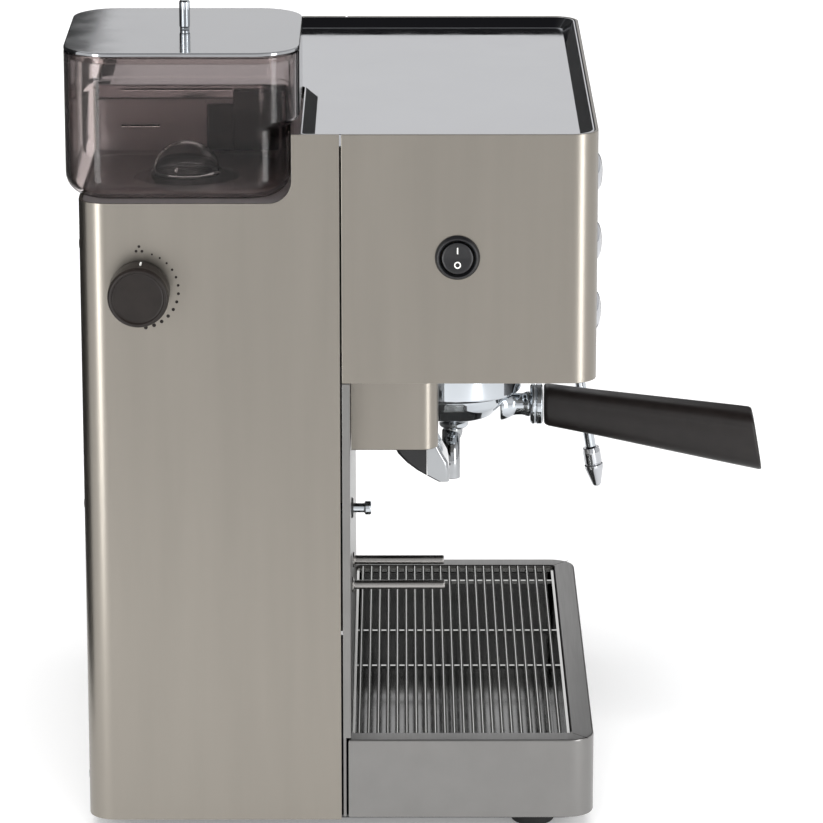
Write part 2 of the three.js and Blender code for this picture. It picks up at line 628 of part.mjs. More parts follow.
function wandTube() {
  const cup = ring("z", 0.1, 8.6, -9, -1.5, 0, 0, 0, 24).subtract(solid(new THREE.SphereGeometry(6.9, 16, 10)));
  const degrees = -THREE.MathUtils.radToDeg(Math.atan(WAND.tilt));
  const socket = cup.rotate([degrees, 0, 0]).translate([WAND.x, WAND.y, WAND.z]);
  const pipe = onWand([[0, 7.4], [3.1, 7.4], [3.1, WAND.length - 24.4], [0, WAND.length - 24.4]].reverse(), 12);
  return join(socket, pipe);
}

function wandNozzle() {
  const top = WAND.length - 24;
  const end = WAND.length;
  const profile = [[0, top], [4.8, top], [5.1, top + 9], [4.7, top + 9.3], [5.4, top + 10], [5.4, top + 12],
    [2.2, end - 1], [1.4, end], [0, end]];
  return onWand(profile.reverse(), 16);
}

function steamValve() {
  const body = disc("x", 10, 108, 140, 0, STEAM.y, STEAM.z, 24);
  const tip = wandPoint(-14.6);
  const pipe = tube([
    [124, STEAM.y, STEAM.z - 6], [124, STEAM.y - 4, STEAM.z - 20], [WAND.x, WAND.y + 4, STEAM.z - 34], [WAND.x, WAND.y, tip[2] + 2],
  ], 3, 8, 10);
  return join(body, pipe);
}

function waterTank() {
  const shell = prism(rectangle(8, 154, 54, 174, 10), 126, 366);
  return shell.subtract(prism(rectangle(10.5, 151.5, 56.5, 171.5, 7.5), 128.5, 370));
}

function brewing() {
  place("group_head", groupHead(), "chrome");
  place("group_gasket", ring("z", 24, 30.6, GROUP.z + 8.2, GROUP.z + 14, GROUP.x, GROUP.y, 0), "rubber");
  place("shower_screen", disc("z", 23.6, GROUP.z + 8.8, GROUP.z + 10.4, GROUP.x, GROUP.y, 0), "steel");
  place("boiler", turned([
    [0, 264.6], [30, 264.6], [40, 270], [42, 278], [42, 336], [36, 346], [0, 350],
  ], "z", GROUP.x, GROUP.y, 0), "brass");
  place("pump", join(disc("y", 20, -28, 28, 80, 110, 60, 24), box(72, 88, 96, 124, 11, 50)), "black");
  place("water_tank", waterTank(), "clear");
  place("portafilter_body", portafilterBody(), "chrome");
  place("filter_basket", filterBasket(), "steel");
  place("portafilter_spout", spout(), "chrome");
  place("handle_ferrule", ferrule(), "chrome");
  place("portafilter_handle", handleGrip(), "darkPlastic");
  place("steam_valve", steamValve(), "brass");
  place("steam_knob", knob(1, STEAM.y, STEAM.z, 8), "darkPlastic");
  place("wand_ball", wandBall(), "chrome");
  place("wand_tube", wandTube(), "chrome");
  place("wand_nozzle", wandNozzle(), "chrome");
}

// --- Drip tray ----------------------------------------------------------------------------------

function trayPlan(inset) {
  const soft = Math.max(CORNER - inset, 2);
  return outline([
    [-HALF + inset, TRAY.y0 + inset, soft], [HALF - inset, TRAY.y0 + inset, soft],
    [HALF - inset, TRAY.y1 - inset], [-HALF + inset, TRAY.y1 - inset],
  ]);
}

function trayOpening(inset) {
  const x = HALF - TRAY.rim - inset;
  return rectangle(-x, x, TRAY.y0 + TRAY.rim + inset, TRAY.y1 - 1.5 - inset, 2.5, 4);
}

function trayOuter() {
  const block = prism(trayPlan(0), TRAY.z0, TRAY.z1);
  const room = prism(trayPlan(SHEET), TRAY.z0 + 1.6, TRAY.z1 - 1.6);
  const front = prism(trayOpening(0), TRAY.z0 + 1.6, TRAY.z1 + 2);
  return block.subtract(room).subtract(front);
}

function trayPan() {
  const low = TRAY.z0 + 2;
  const high = TRAY.z1 - 4.2;
  return prism(trayOpening(GAP), low, high).subtract(prism(trayOpening(GAP + 1.4), low + 1.4, high + 2));
}

function trayGrate() {
  const low = TRAY.z1 - 3.6;
  const high = TRAY.z1 - 0.3;
  const bars = 22;
  const pitch = 5.07;
  const x = HALF - TRAY.rim - 2.6;
  const [front, rear] = [TRAY.y0 + TRAY.rim + 2.6, TRAY.y1 - 4.4];
  let grate = prism(trayOpening(GAP), low, high).subtract(box(-x, x, front, rear, low - 1, high - 1.6));
  for (let i = 0; i <= bars; i++) {
    const y = rear - pitch * i;
    const near = Math.max(y - pitch + 1.5, front);
    grate = grate.subtract(box(-x, x, near, y, high - 3, high + 1));
  }
  const struts = [-124, -31, 31, 124].map((at) => {
    return box(at - 1, at + 1, TRAY.y0 + TRAY.rim + 1, TRAY.y1 - 2.2, low, high - 1.55);
  });
  return join(grate, ...struts);
}

function dripTray() {
  place("drip_tray", trayOuter(), "steel");
  place("drip_pan", trayPan(), "polished");
  place("drip_grate", trayGrate(), "steel");
}

casing();
grinding();
controls();
brewing();
dripTray();

export default machine;
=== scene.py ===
import math

import bmesh
import bpy
from mathutils import Matrix, Vector


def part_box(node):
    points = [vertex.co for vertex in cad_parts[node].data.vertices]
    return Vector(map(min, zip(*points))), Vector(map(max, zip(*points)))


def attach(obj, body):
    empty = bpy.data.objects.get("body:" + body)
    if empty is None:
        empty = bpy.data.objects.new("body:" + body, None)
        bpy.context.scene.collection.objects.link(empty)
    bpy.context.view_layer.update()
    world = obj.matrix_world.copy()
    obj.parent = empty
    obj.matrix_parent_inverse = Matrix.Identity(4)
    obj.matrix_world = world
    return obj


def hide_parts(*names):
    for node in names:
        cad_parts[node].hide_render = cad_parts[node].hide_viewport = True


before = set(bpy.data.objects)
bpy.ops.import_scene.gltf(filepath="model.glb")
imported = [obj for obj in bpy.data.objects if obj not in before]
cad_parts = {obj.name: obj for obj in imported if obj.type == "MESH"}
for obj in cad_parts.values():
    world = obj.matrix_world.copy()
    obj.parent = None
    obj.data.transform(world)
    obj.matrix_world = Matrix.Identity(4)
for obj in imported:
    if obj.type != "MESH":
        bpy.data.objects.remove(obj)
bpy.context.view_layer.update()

MM = 0.001


def span(node):
    """A CAD node's lowest and highest corners, in millimetres."""
    low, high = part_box(node)
    return low / MM, high / MM


def middle(node):
    low, high = span(node)
    return (low + high) / 2


# Driving sizes in millimetres, from the frame where it holds them
REAR_LOW, REAR_HIGH = span("rear_shell")
HOUSE_LOW, HOUSE_HIGH = span("upper_housing")
TANK_LOW, TANK_HIGH = span("hopper_tank")
LID_LOW, LID_HIGH = span("hopper_lid")
TRAY_LOW, TRAY_HIGH = span("drip_tray")
GRATE_LOW, GRATE_HIGH = span("drip_grate")
HALF = REAR_HIGH.x             # half the casing's width
BACK = REAR_HIGH.y
FLOOR = REAR_LOW.z             # casing's lower edge
TOP = REAR_HIGH.z              # casing's upper edge
SEAM_REAR = REAR_LOW.y
SEAM_FRONT = HOUSE_HIGH.y
FRONT = HOUSE_LOW.y            # upper housing's front face
UNDER = HOUSE_LOW.z            # upper housing's lower edge
SHEET = 1.6                    # steel sheet
CORNER = 14.0                  # casing's upright corners
GAP = 0.35                     # air between neighbours
NOTCH_X = TANK_HIGH.x + 0.6    # casing's cut-out for the tank
NOTCH_Y = TANK_LOW.y - 0.6
NOTCH_Z = 345.0
TANK_DEPTH = 75.3
TANK_STEP = 4.7                # how far the tank is set in below the casing's top
TANK_ROUND = 12                # tank's bottom edge
TANK_CORNER = 24
TANK_WALL = 2.2
BUTTON_RADIUS = 10.5
PADDLE_RADIUS = 8.3            # power switch's rocking paddle
TRAY_CORNER = 2.5              # drip tray's opening
BAR_RADIUS = 1.1               # drip grate's bars
BAR_PITCH = 5.07


# --- Mesh building ---

def outline(corners, steps=12):
    """A closed outline through (x, y, radius) corners, with each rounded corner as an arc."""
    points = []
    count = len(corners)
    for i, corner in enumerate(corners):
        here = Vector(corner[:2])
        radius = corner[2] if len(corner) > 2 else 0
        if not radius:
            points.append(here)
            continue
        before = (Vector(corners[i - 1][:2]) - here).normalized()
        after = (Vector(corners[(i + 1) % count][:2]) - here).normalized()
        half = before.angle(after) / 2
        centre = here + (before + after).normalized() * radius / math.sin(half)
        start = here + before * radius / math.tan(half) - centre
        end = here + after * radius / math.tan(half) - centre
        first = math.atan2(start.y, start.x)
        turn = (math.atan2(end.y, end.x) - first + math.pi) % (2 * math.pi) - math.pi
        for k in range(steps + 1):
            angle = first + turn * k / steps
            points.append(centre + Vector((math.cos(angle), math.sin(angle))) * radius)
    return points


def rectangle(x0, x1, y0, y1, radius, steps=12):
    return outline([(x0, y0, radius), (x1, y0, radius), (x1, y1, radius), (x0, y1, radius)], steps)


def level(points, z):
    return [Vector((p.x, p.y, z)) for p in points]


def loft(rings, closed=False):
    """Vertices and faces through rings of the same number of points, with flat ends unless closed."""
    count = len(rings[0])
    points = [p for ring in rings for p in ring]
    faces = []
    for k in range(len(rings) if closed else len(rings) - 1):
        here = k * count
        above = (k + 1) % len(rings) * count
        for i in range(count):
            j = (i + 1) % count
            faces.append((here + i, here + j, above + j, above + i))
    if not closed:
        faces.append(tuple(range(count))[::-1])
        faces.append(tuple(range((len(rings) - 1) * count, len(rings) * count)))
    return points, faces


def prism(points, z0, z1):
    return loft([level(points, z0), level(points, z1)])


def lathe(profile, centre=(0, 0, 0), axis="z", segments=64):
    """A body of revolution through (radius, height) points, closed on the axis or on itself."""
    turns = {
        "z": lambda r, h, c, s: (r * c, r * s, h),
        "y": lambda r, h, c, s: (r * c, h, r * s),
        "x": lambda r, h, c, s: (h, r * c, r * s),
    }
    centre = Vector(centre)
    points = []
    rows = []
    for radius, height in profile:
        if radius < 1e-6:
            rows.append([len(points)] * segments)
            points.append(Vector(turns[axis](0, height, 1, 0)) + centre)
            continue
        rows.append(list(range(len(points), len(points) + segments)))
        for k in range(segments):
            angle = 2 * math.pi * k / segments
            points.append(Vector(turns[axis](radius, height, math.cos(angle), math.sin(angle))) + centre)
    faces = []
    open_ends = profile[0][0] > 1e-6 and profile[-1][0] > 1e-6
    last = len(rows) if open_ends else len(rows) - 1
    for k in range(last):
        low, high = rows[k], rows[(k + 1) % len(rows)]
        for i in range(segments):
            j = (i + 1) % segments
            face = list(dict.fromkeys((low[i], low[j], high[j], high[i])))
            if len(face) > 2:
                faces.append(tuple(face))
    return points, faces


def soft(profile, radius=0.4, steps=3):
    """A profile with its inner corners rounded off."""
    out = [profile[0]]
    for before, here, after in zip(profile, profile[1:], profile[2:]):
        a, b, c = Vector(before), Vector(here), Vector(after)
        reach = min(radius, (a - b).length * 0.45, (c - b).length * 0.45)
        if here[0] < 1e-6 or reach < 1e-4:
            out.append(here)
            continue
        start = b + (a - b).normalized() * reach
        end = b + (c - b).normalized() * reach
        for k in range(steps + 1):
            t = k / steps
            point = start * (1 - t) ** 2 + b * 2 * t * (1 - t) + end * t * t
            out.append((max(point.x, 0.0), point.y))
    out.append(profile[-1])
    return out


def sweep(path, radii, segments=24):
    """A round bar along a path, with a radius for each point."""
    path = [Vector(p) for p in path]
    rings = []
    side = None
    for i, point in enumerate(path):
        along = (path[min(i + 1, len(path) - 1)] - path[max(i - 1, 0)]).normalized()
        if side is None:
            side = along.orthogonal().normalized()
        side = (side - along * side.dot(along)).normalized()
        other = along.cross(side)
        rings.append([
            point + (side * math.cos(a) + other * math.sin(a)) * radii[i]
            for a in (2 * math.pi * k / segments for k in range(segments))
        ])
    return loft(rings)


def curve_points(points, steps=8):
    """A smooth path through the points."""
    points = [Vector(p) for p in points]
    padded = [points[0] * 2 - points[1]] + points + [points[-1] * 2 - points[-2]]
    path = []
    for a, b, c, d in zip(padded, padded[1:], padded[2:], padded[3:]):
        for k in range(steps):
            t = k / steps
            path.append(0.5 * (2 * b + (c - a) * t + (2 * a - 5 * b + 4 * c - d) * t * t
                               + (3 * b - a - 3 * c + d) * t ** 3))
    return path + [points[-1]]


def block(x0, x1, y0, y1, z0, z1):
    corners = [Vector((x0, y0)), Vector((x1, y0)), Vector((x1, y1)), Vector((x0, y1))]
    return prism(corners, z0, z1)


def moved(shape, matrix):
    return [matrix @ p for p in shape[0]], shape[1]


def together(*shapes):
    """Several shapes as one list of vertices and faces."""
    points, faces = [], []
    for more, sides in shapes:
        start = len(points)
        points.extend(more)
        faces.extend(tuple(i + start for i in side) for side in sides)
    return points, faces


def build(name, shape, scale=MM):
    mesh = bpy.data.meshes.new(name)
    mesh.from_pydata([tuple(p * scale) for p in shape[0]], [], shape[1])
    work = bmesh.new()
    work.from_mesh(mesh)
    bmesh.ops.remove_doubles(work, verts=work.verts, dist=1e-6)
    bmesh.ops.recalc_face_normals(work, faces=work.faces)
    work.to_mesh(mesh)
    work.free()
    thing = bpy.data.objects.new(name, mesh)
    bpy.context.scene.collection.objects.link(thing)
    return thing


def settle(thing):
    """Applies a piece's modifiers to its mesh."""
    graph = bpy.context.evaluated_depsgraph_get()
    mesh = bpy.data.meshes.new_from_object(thing.evaluated_get(graph))
    thing.modifiers.clear()
    thing.data = mesh


def cut(thing, *cutters):
    for number, shape in enumerate(cutters):
        tool = build(f"cutter_{number}", shape)
        step = thing.modifiers.new("cut", "BOOLEAN")
        step.operation = "DIFFERENCE"
        step.solver = "EXACT"
        step.object = tool
        bpy.context.view_layer.update()
        settle(thing)
        bpy.data.objects.remove(tool)
    return thing


def finish_edges(thing, width=0.0, segments=2, angle=32):
    """Rounds the sharp edges by the width in millimetres and shades the rest smooth."""
    if width:
        step = thing.modifiers.new("edges", "BEVEL")
        step.width = width * MM
        step.segments = segments
        step.limit_method = "ANGLE"
        step.angle_limit = math.radians(angle)
        step.use_clamp_overlap = True
        settle(thing)
    thing.data.shade_smooth()
    thing.data.set_sharp_from_angle(angle=math.radians(angle))
    step = thing.modifiers.new("flat_faces", "WEIGHTED_NORMAL")
    step.mode = "FACE_AREA"
    step.weight = 100
    step.keep_sharp = True
    settle(thing)
    return thing


def piece(thing, body, material, stands_for=(), edge=0.0, segments=2, angle=32):
    """Finishes a piece: its edges, its material, the body it rides on and the node it stands for."""
    finish_edges(thing, edge, segments, angle)
    thing.data.materials.clear()
    thing.data.materials.append(material)
    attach(thing, body)
    if stands_for:
        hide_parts(*stands_for)
    return thing


def refined(node, body, material, edge, segments=2, angle=32):
    """A finer copy of a CAD node: flat faces made whole and sharp edges rounded."""
    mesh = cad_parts[node].data.copy()
    thing = bpy.data.objects.new(node + "_shape", mesh)
    bpy.context.scene.collection.objects.link(thing)
    work = bmesh.new()
    work.from_mesh(mesh)
    bmesh.ops.remove_doubles(work, verts=work.verts, dist=2e-6)
    bmesh.ops.dissolve_limit(work, angle_limit=math.radians(1.0), verts=work.verts, edges=work.edges)
    work.to_mesh(mesh)
    work.free()
    if "custom_normal" in mesh.attributes:
        mesh.attributes.remove(mesh.attributes["custom_normal"])
    return piece(thing, body, material, [node], edge, segments, angle)


# --- Materials ---

def material(name, color, metallic=0.0, roughness=0.5, **sockets):
    made = bpy.data.materials.new(name)
    made.use_nodes = True
    shader = made.node_tree.nodes["Principled BSDF"]
    shader.inputs["Base Color"].default_value = (*color, 1)
    shader.inputs["Metallic"].default_value = metallic
    shader.inputs["Roughness"].default_value = roughness
    for socket, value in sockets.items():
        shader.inputs[socket.replace("_", " ")].default_value = value
    return made


def noise(made, scale, stretch=(1, 1, 1), detail=3.0):
    """A noise in the frame's own metres: scale is in features a metre."""
    nodes, links = made.node_tree.nodes, made.node_tree.links
    place = nodes.new("ShaderNodeTexCoord")
    mapping = nodes.new("ShaderNodeMapping")
    mapping.inputs["Scale"].default_value = stretch
    texture = nodes.new("ShaderNodeTexNoise")
    texture.inputs["Scale"].default_value = scale
    texture.inputs["Detail"].default_value = detail
    links.new(place.outputs["Object"], mapping.inputs["Vector"])
    links.new(mapping.outputs["Vector"], texture.inputs["Vector"])
    return texture.outputs["Fac"]


def vary_roughness(made, source, low, high):
    nodes, links = made.node_tree.nodes, made.node_tree.links
    spread = nodes.new("ShaderNodeMapRange")
    spread.inputs["From Min"].default_value = 0.3
    spread.inputs["From Max"].default_value = 0.7
    spread.inputs["To Min"].default_value = low
    spread.inputs["To Max"].default_value = high
    links.new(source, spread.inputs["Value"])
    links.new(spread.outputs["Result"], nodes["Principled BSDF"].inputs["Roughness"])


def vary_color(made, source, first, second):
    nodes, links = made.node_tree.nodes, made.node_tree.links
    ramp = nodes.new("ShaderNodeValToRGB")
    ramp.color_ramp.elements[0].position = 0.32
    ramp.color_ramp.elements[1].position = 0.68
    ramp.color_ramp.elements[0].color = (*first, 1)
    ramp.color_ramp.elements[1].color = (*second, 1)
    links.new(source, ramp.inputs["Fac"])
    links.new(ramp.outputs["Color"], nodes["Principled BSDF"].inputs["Base Color"])


def grain(made, source, strength, depth):
    nodes, links = made.node_tree.nodes, made.node_tree.links
    bump = nodes.new("ShaderNodeBump")
    bump.inputs["Strength"].default_value = strength
    bump.inputs["Distance"].default_value = depth * MM
    links.new(source, bump.inputs["Height"])
    links.new(bump.outputs["Normal"], nodes["Principled BSDF"].inputs["Normal"])


def brushed(name, color, along, rough=(0.28, 0.35)):
    """Stainless sheet with fine brush lines along one axis, and faint wider bands."""
    made = material(name, color, 1.0, 0.34)
    fine = noise(made, 2600, [0.012 if a == along else 1.0 for a in "xyz"], 2.0)
    wide = noise(made, 60, [0.08 if a == along else 1.0 for a in "xyz"], 4.0)
    vary_roughness(made, fine, *rough)
    vary_color(made, wide, tuple(c * 0.97 for c in color), tuple(min(1, c * 1.03) for c in color))
    grain(made, fine, 0.05, 0.015)
    return made


def polished(name, color, rough=(0.05, 0.12), bump=0.03):
    """Bright metal with faint smudges and polishing haze."""
    made = material(name, color, 1.0, 0.08)
    haze = noise(made, 45, detail=5.0)
    vary_roughness(made, haze, *rough)
    vary_color(made, noise(made, 25), tuple(c * 0.97 for c in color), color)
    grain(made, noise(made, 900), bump, 0.01)
    return made


def moulded(name, color, rough=(0.38, 0.52), size=1500, bump=0.25, **sockets):
    """Moulded plastic or rubber with a fine spark-eroded grain."""
    made = material(name, color, 0.0, 0.45, **sockets)
    fine = noise(made, size, detail=2.0)
    vary_roughness(made, noise(made, 90), *rough)
    vary_color(made, noise(made, 160), tuple(c * 0.88 for c in color), tuple(c * 1.12 for c in color))
    grain(made, fine, bump, 0.04)
    return made


def clear(name, color, rough, **sockets):
    """See-through plastic, faintly uneven as moulded parts are."""
    made = material(name, color, 0.0, rough, Transmission_Weight=1.0, **sockets)
    vary_roughness(made, noise(made, 40), rough, rough + 0.03)
    vary_color(made, noise(made, 18), tuple(c * 0.97 for c in color), color)
    grain(made, noise(made, 30), 0.03, 0.05)
    return made


STEEL = brushed("steel_side", (0.249, 0.230, 0.202), "z")
STEEL_FLAT = brushed("steel_flat", (0.207, 0.203, 0.197), "x")
DECK_STEEL = brushed("steel_deck", (0.665, 0.648, 0.655), "x", (0.55, 0.65))
LID_STEEL = polished("steel_lid", (0.325, 0.331, 0.343))
TOP_STEEL = polished("steel_top", (0.415, 0.422, 0.442))
SHADED_CHROME = polished("chrome_shaded", (0.34, 0.35, 0.36), (0.06, 0.12), 0.02)
# Much darker than the other polished steel: painted dark reflection for the drip pan
PAN_STEEL_PAINTED_DARK = polished("steel_pan_painted_dark", (0.17, 0.17, 0.167), (0.07, 0.12), 0.01)
MIRROR = polished("steel_polished", (0.50, 0.51, 0.53))
CHROME = polished("chrome", (0.50, 0.53, 0.56), (0.03, 0.07), 0.02)
ROD_STEEL = polished("steel_rod", (0.30, 0.29, 0.28), (0.2, 0.28), 0.02)
GRATE_STEEL = polished("steel_grate", (0.60, 0.60, 0.58), (0.12, 0.2), 0.02)
CAST = moulded("cast_metal", (0.42, 0.42, 0.43), (0.4, 0.6), 700, 0.4, Metallic=1.0)
BRASS = brushed("brass", (0.62, 0.44, 0.20), "z", (0.25, 0.38))
DARK = moulded("dark_plastic", (0.0125, 0.0097, 0.0085), (0.34, 0.46), Specular_IOR_Level=0.22)
GRIP = moulded("grip_plastic", (0.009, 0.007, 0.0065), (0.3, 0.42), 1100, 0.2, Specular_IOR_Level=0.32)
BLACK = moulded("black_plastic", (0.009, 0.009, 0.010), (0.28, 0.42), Specular_IOR_Level=0.4)
BLACK_METAL = moulded("black_metal", (0.02, 0.02, 0.02), (0.4, 0.55), 500, 0.3)
RUBBER = moulded("rubber", (0.014, 0.014, 0.014), (0.7, 0.85), 900, 0.4)
SMOKY = clear("smoky_clear", (0.71, 0.655, 0.645), 0.05, IOR=1.25)
CLEAR = clear("clear_plastic", (0.92, 0.94, 0.94), 0.02, IOR=1.35)
GLASS = clear("gauge_lens", (0.97, 0.98, 0.98), 0.0, IOR=1.3)
WHITE = moulded("white_marking", (0.78, 0.78, 0.74), (0.45, 0.6), 1200, 0.1)
DIAL = moulded("dial_face", (0.86, 0.86, 0.83), (0.4, 0.5), 1200, 0.08)
INK = moulded("dark_marking", (0.014, 0.011, 0.010), (0.6, 0.7), 1200, 0.1, Specular_IOR_Level=0.15)
RED = moulded("needle_red", (0.50, 0.03, 0.02), (0.3, 0.45), 900, 0.1)


# --- Casing ---

def folded(open_y, end_y):
    """A folded U of sheet in plan: two sides and one end, with rounded upright corners."""
    inward = SHEET if end_y < open_y else -SHEET
    return outline([
        (-HALF, open_y), (-HALF, end_y, CORNER), (HALF, end_y, CORNER), (HALF, open_y),
        (HALF - SHEET, open_y), (HALF - SHEET, end_y + inward, CORNER - SHEET),
        (-HALF + SHEET, end_y + inward, CORNER - SHEET), (-HALF + SHEET, open_y),
    ])


def along_x(points, x0, x1):
    """A prism along X, from an outline in (y, z)."""
    return loft([[Vector((x, p.x, p.y)) for p in points] for x in (x0, x1)])


def bar(axis, radius, low, high, centre, segments=48):
    return lathe([(0, low), (radius, low), (radius, high), (0, high)], centre, axis, segments)


def rear_shell():
    thing = build("rear_casing", prism(folded(SEAM_REAR, BACK), FLOOR, TOP))
    nest = NOTCH_Y + TANK_STEP
    side = outline([(nest, TOP + 9), (nest, NOTCH_Z, 12), (BACK + 9, NOTCH_Z), (BACK + 9, TOP + 9)])
    notch = along_x(side, -HALF - 5, NOTCH_X - TANK_STEP)
    inlet_low, inlet_high = span("cord_inlet")
    inlet = block(inlet_low.x - 1, inlet_high.x + 1, BACK - 5, BACK + 5, inlet_low.z - 1, inlet_high.z + 1)
    vents = [block(20, 120, BACK - 5, BACK + 5, 200 + 14 * k, 204 + 14 * k) for k in range(8)]
    cut(thing, notch, inlet, together(*vents))
    piece(thing, "chassis", STEEL, ["rear_shell"], 0.45)


def upper_housing():
    thing = build("front_casing", prism(folded(SEAM_FRONT, FRONT), UNDER, TOP))
    holes = []
    for k in (1, 2, 3):
        button = middle(f"button_{k}")
        holes.append(bar("y", BUTTON_RADIUS + 0.4, -5, 5, (button.x, FRONT, button.z)))
    rocker = middle("switch_bezel")
    holes.append(bar("x", 9.2, -5, 5, (-HALF, rocker.y, rocker.z)))
    tap = middle("steam_knob")
    holes.append(bar("x", 5, -5, 5, (HALF, tap.y, tap.z)))
    cut(thing, together(*holes))
    piece(thing, "chassis", STEEL, ["upper_housing"], 0.45)


def tray_plan(inset, steps=10):
    low, high = span("cup_tray")
    round_corner = max(CORNER - SHEET - inset, 2.5)
    return outline([
        (low.x + inset, low.y + inset, round_corner), (high.x - inset, low.y + inset, round_corner),
        (high.x - inset, high.y - inset, round_corner), (NOTCH_X + inset, high.y - inset, 2),
        (NOTCH_X + inset, NOTCH_Y - inset, 5 + inset), (low.x + inset, NOTCH_Y - inset, 2),
    ], steps)


def cup_tray():
    low, high = span("cup_tray")
    floor = high.z - 5.2
    rings = [
        level(tray_plan(0.3), low.z), level(tray_plan(0), low.z + 0.3), level(tray_plan(0), high.z - 0.25),
        level(tray_plan(0.2), high.z), level(tray_plan(0.9), high.z), level(tray_plan(1.4), high.z - 0.4),
        level(tray_plan(6.6), floor + 0.35), level(tray_plan(7.6), floor),
    ]
    thing = build("top_tray_sheet", loft(rings))
    piece(thing, "top_tray", TOP_STEEL, ["cup_tray"], angle=25)


def screw_head(centre, axis, sign, radius=2.6):
    """A low domed screw head, standing out along sign times the axis."""
    profile = [
        (0, 0.5), (radius * 0.6, 0.46), (radius * 0.88, 0.34), (radius, 0.1), (radius, -0.3), (0, -0.3),
    ]
    return lathe([(r, h * sign) for r, h in profile], centre, axis, 24)


def inlet_pins():
    low, high = span("cord_inlet")
    mid = (low + high) / 2
    pins = [block(mid.x + x - 1, mid.x + x + 1, high.y - 13.5, high.y - 3, mid.z + z - 2, mid.z + z + 2)
            for x, z in ((-7, -2), (0, 2.5), (7, -2))]
    piece(build("inlet_pins", together(*pins)), "chassis", BRASS, edge=0.3)


def back_screws():
    side, middle_height = 142.5, 180
    spots = [(-side, 30), (-side, middle_height), (-side, 320), (side, 30), (side, middle_height),
             (side, 350), (0, 30), (0, 350)]
    screws = [screw_head((x, BACK, z), "y", 1) for x, z in spots]
    piece(build("back_screws", together(*screws)), "chassis", MIRROR, angle=40)


def feet():
    for k in range(1, 5):
        centre = middle(f"foot_{k}")
        top = span(f"foot_{k}")[1].z
        profile = soft([(0, 0), (10.2, 0), (11.6, 1.2), (12, 5.6), (9.2, top), (0, top)], 0.9)
        foot = build(f"rubber_foot_{k}", lathe(profile, (centre.x, centre.y, 0), "z", 48))
        piece(foot, "chassis", RUBBER, [f"foot_{k}"], angle=50)


def casing():
    rear_shell()
    upper_housing()
    cup_tray()
    refined("hopper_deck", "chassis", DECK_STEEL, 0.3)
    refined("column_front_panel", "chassis", STEEL_FLAT, 0.4)
    refined("housing_floor", "chassis", STEEL_FLAT, 0.3)
    refined("base_plate", "chassis", BLACK_METAL, 0.4)
    refined("cord_inlet", "chassis", BLACK, 0.5)
    inlet_pins()
    back_screws()
    feet()


# --- Hopper and grinder ---

def hopper_plan(inset, out, steps=14):
    """The hopper's outline: the part below the casing's top is set in on two sides."""
    step = TANK_STEP * (1 - out)
    return rectangle(TANK_LOW.x + inset, TANK_HIGH.x - step - inset, TANK_LOW.y + step + inset,
                     TANK_HIGH.y - inset, max(TANK_CORNER - inset, 8), steps)


def hopper_skin(inset, bottom, top):
    """Rings of the tank's skin, from its rounded bottom edge over the step to its top."""
    radius = TANK_ROUND - inset
    rings = []
    for k in range(9):
        angle = math.pi / 2 * k / 8
        rings.append(level(hopper_plan(inset + radius * (1 - math.sin(angle)), 0),
                           bottom + radius * (1 - math.cos(angle))))
    for t in (0, 0.25, 0.5, 0.75, 1):
        ease = t * t * (3 - 2 * t)
        rings.append(level(hopper_plan(inset, ease), TOP + 0.8 + 5 * t))
    rings.append(level(hopper_plan(inset, 1), top))
    return rings


def bean_tank():
    bottom = TANK_HIGH.z - TANK_DEPTH
    outer = hopper_skin(0, bottom, TANK_HIGH.z - 0.3)
    outer.append(level(hopper_plan(0.4, 1), TANK_HIGH.z))
    inner = hopper_skin(TANK_WALL, bottom + TANK_WALL, TANK_HIGH.z - 0.3)
    inner.append(level(hopper_plan(TANK_WALL - 0.4, 1), TANK_HIGH.z))
    tank = build("bean_tank", loft(outer + inner[::-1]))
    piece(tank, "tank", SMOKY, ["hopper_tank"], angle=40)


def tank_ribs():
    near = TANK_LOW.x + TANK_WALL
    ribs = [block(near, near + 1.2, y, 156.7, z, z + 1.2) for y, z in ((100, 403.6), (137, 384.8))]
    piece(build("tank_ribs", together(*ribs)), "tank", SMOKY, edge=0.3)


def throat_guard():
    """A clear dome on a low collar, over the way into the grinder."""
    throat = middle("hopper_guard")
    base = span("hopper_guard")[0].z
    dome = []
    for k in range(14):
        angle = math.pi / 2 * k / 14
        dome.append((17.2 * math.cos(angle), base + 2 + 14.5 * math.sin(angle)))
    inside = [(r * 0.94, z - 0.9) for r, z in dome[::-1]]
    shell = [(18.6, base), (18.6, base + 1.4)] + dome + [(0, base + 16.5), (0, base + 15.6)] + inside
    guard = build("throat_guard", lathe(shell + [(15.3, base)], (throat.x, throat.y, 0), "z", 72))
    piece(guard, "tank", CLEAR, ["hopper_guard"], angle=50)


def interlock_cover():
    """The dark cover that stands behind the tank, with a lower step beside it."""
    far = TANK_HIGH.x - TANK_STEP + 0.9
    tall = block(far, far + 2.6, 73, 104, NOTCH_Z, TOP - 2)
    short = block(far, far + 2.6, 103.8, 118, NOTCH_Z, TOP - 9)
    cover = build("interlock_cover", together(tall, short))
    piece(cover, "chassis", BLACK, edge=1.2, segments=3)


def lid_plate():
    top = LID_HIGH.z
    rings = [
        level(hopper_plan(1.0, 1), top - 2.4), level(hopper_plan(0.3, 1), top - 2.2),
        level(hopper_plan(0, 1), top - 1.8), level(hopper_plan(0, 1), top - 0.7),
        level(hopper_plan(0.25, 1), top - 0.2), level(hopper_plan(0.9, 1), top),
    ]
    plate = build("lid_plate", loft(rings))
    piece(plate, "lid", LID_STEEL, ["hopper_lid"], angle=25)


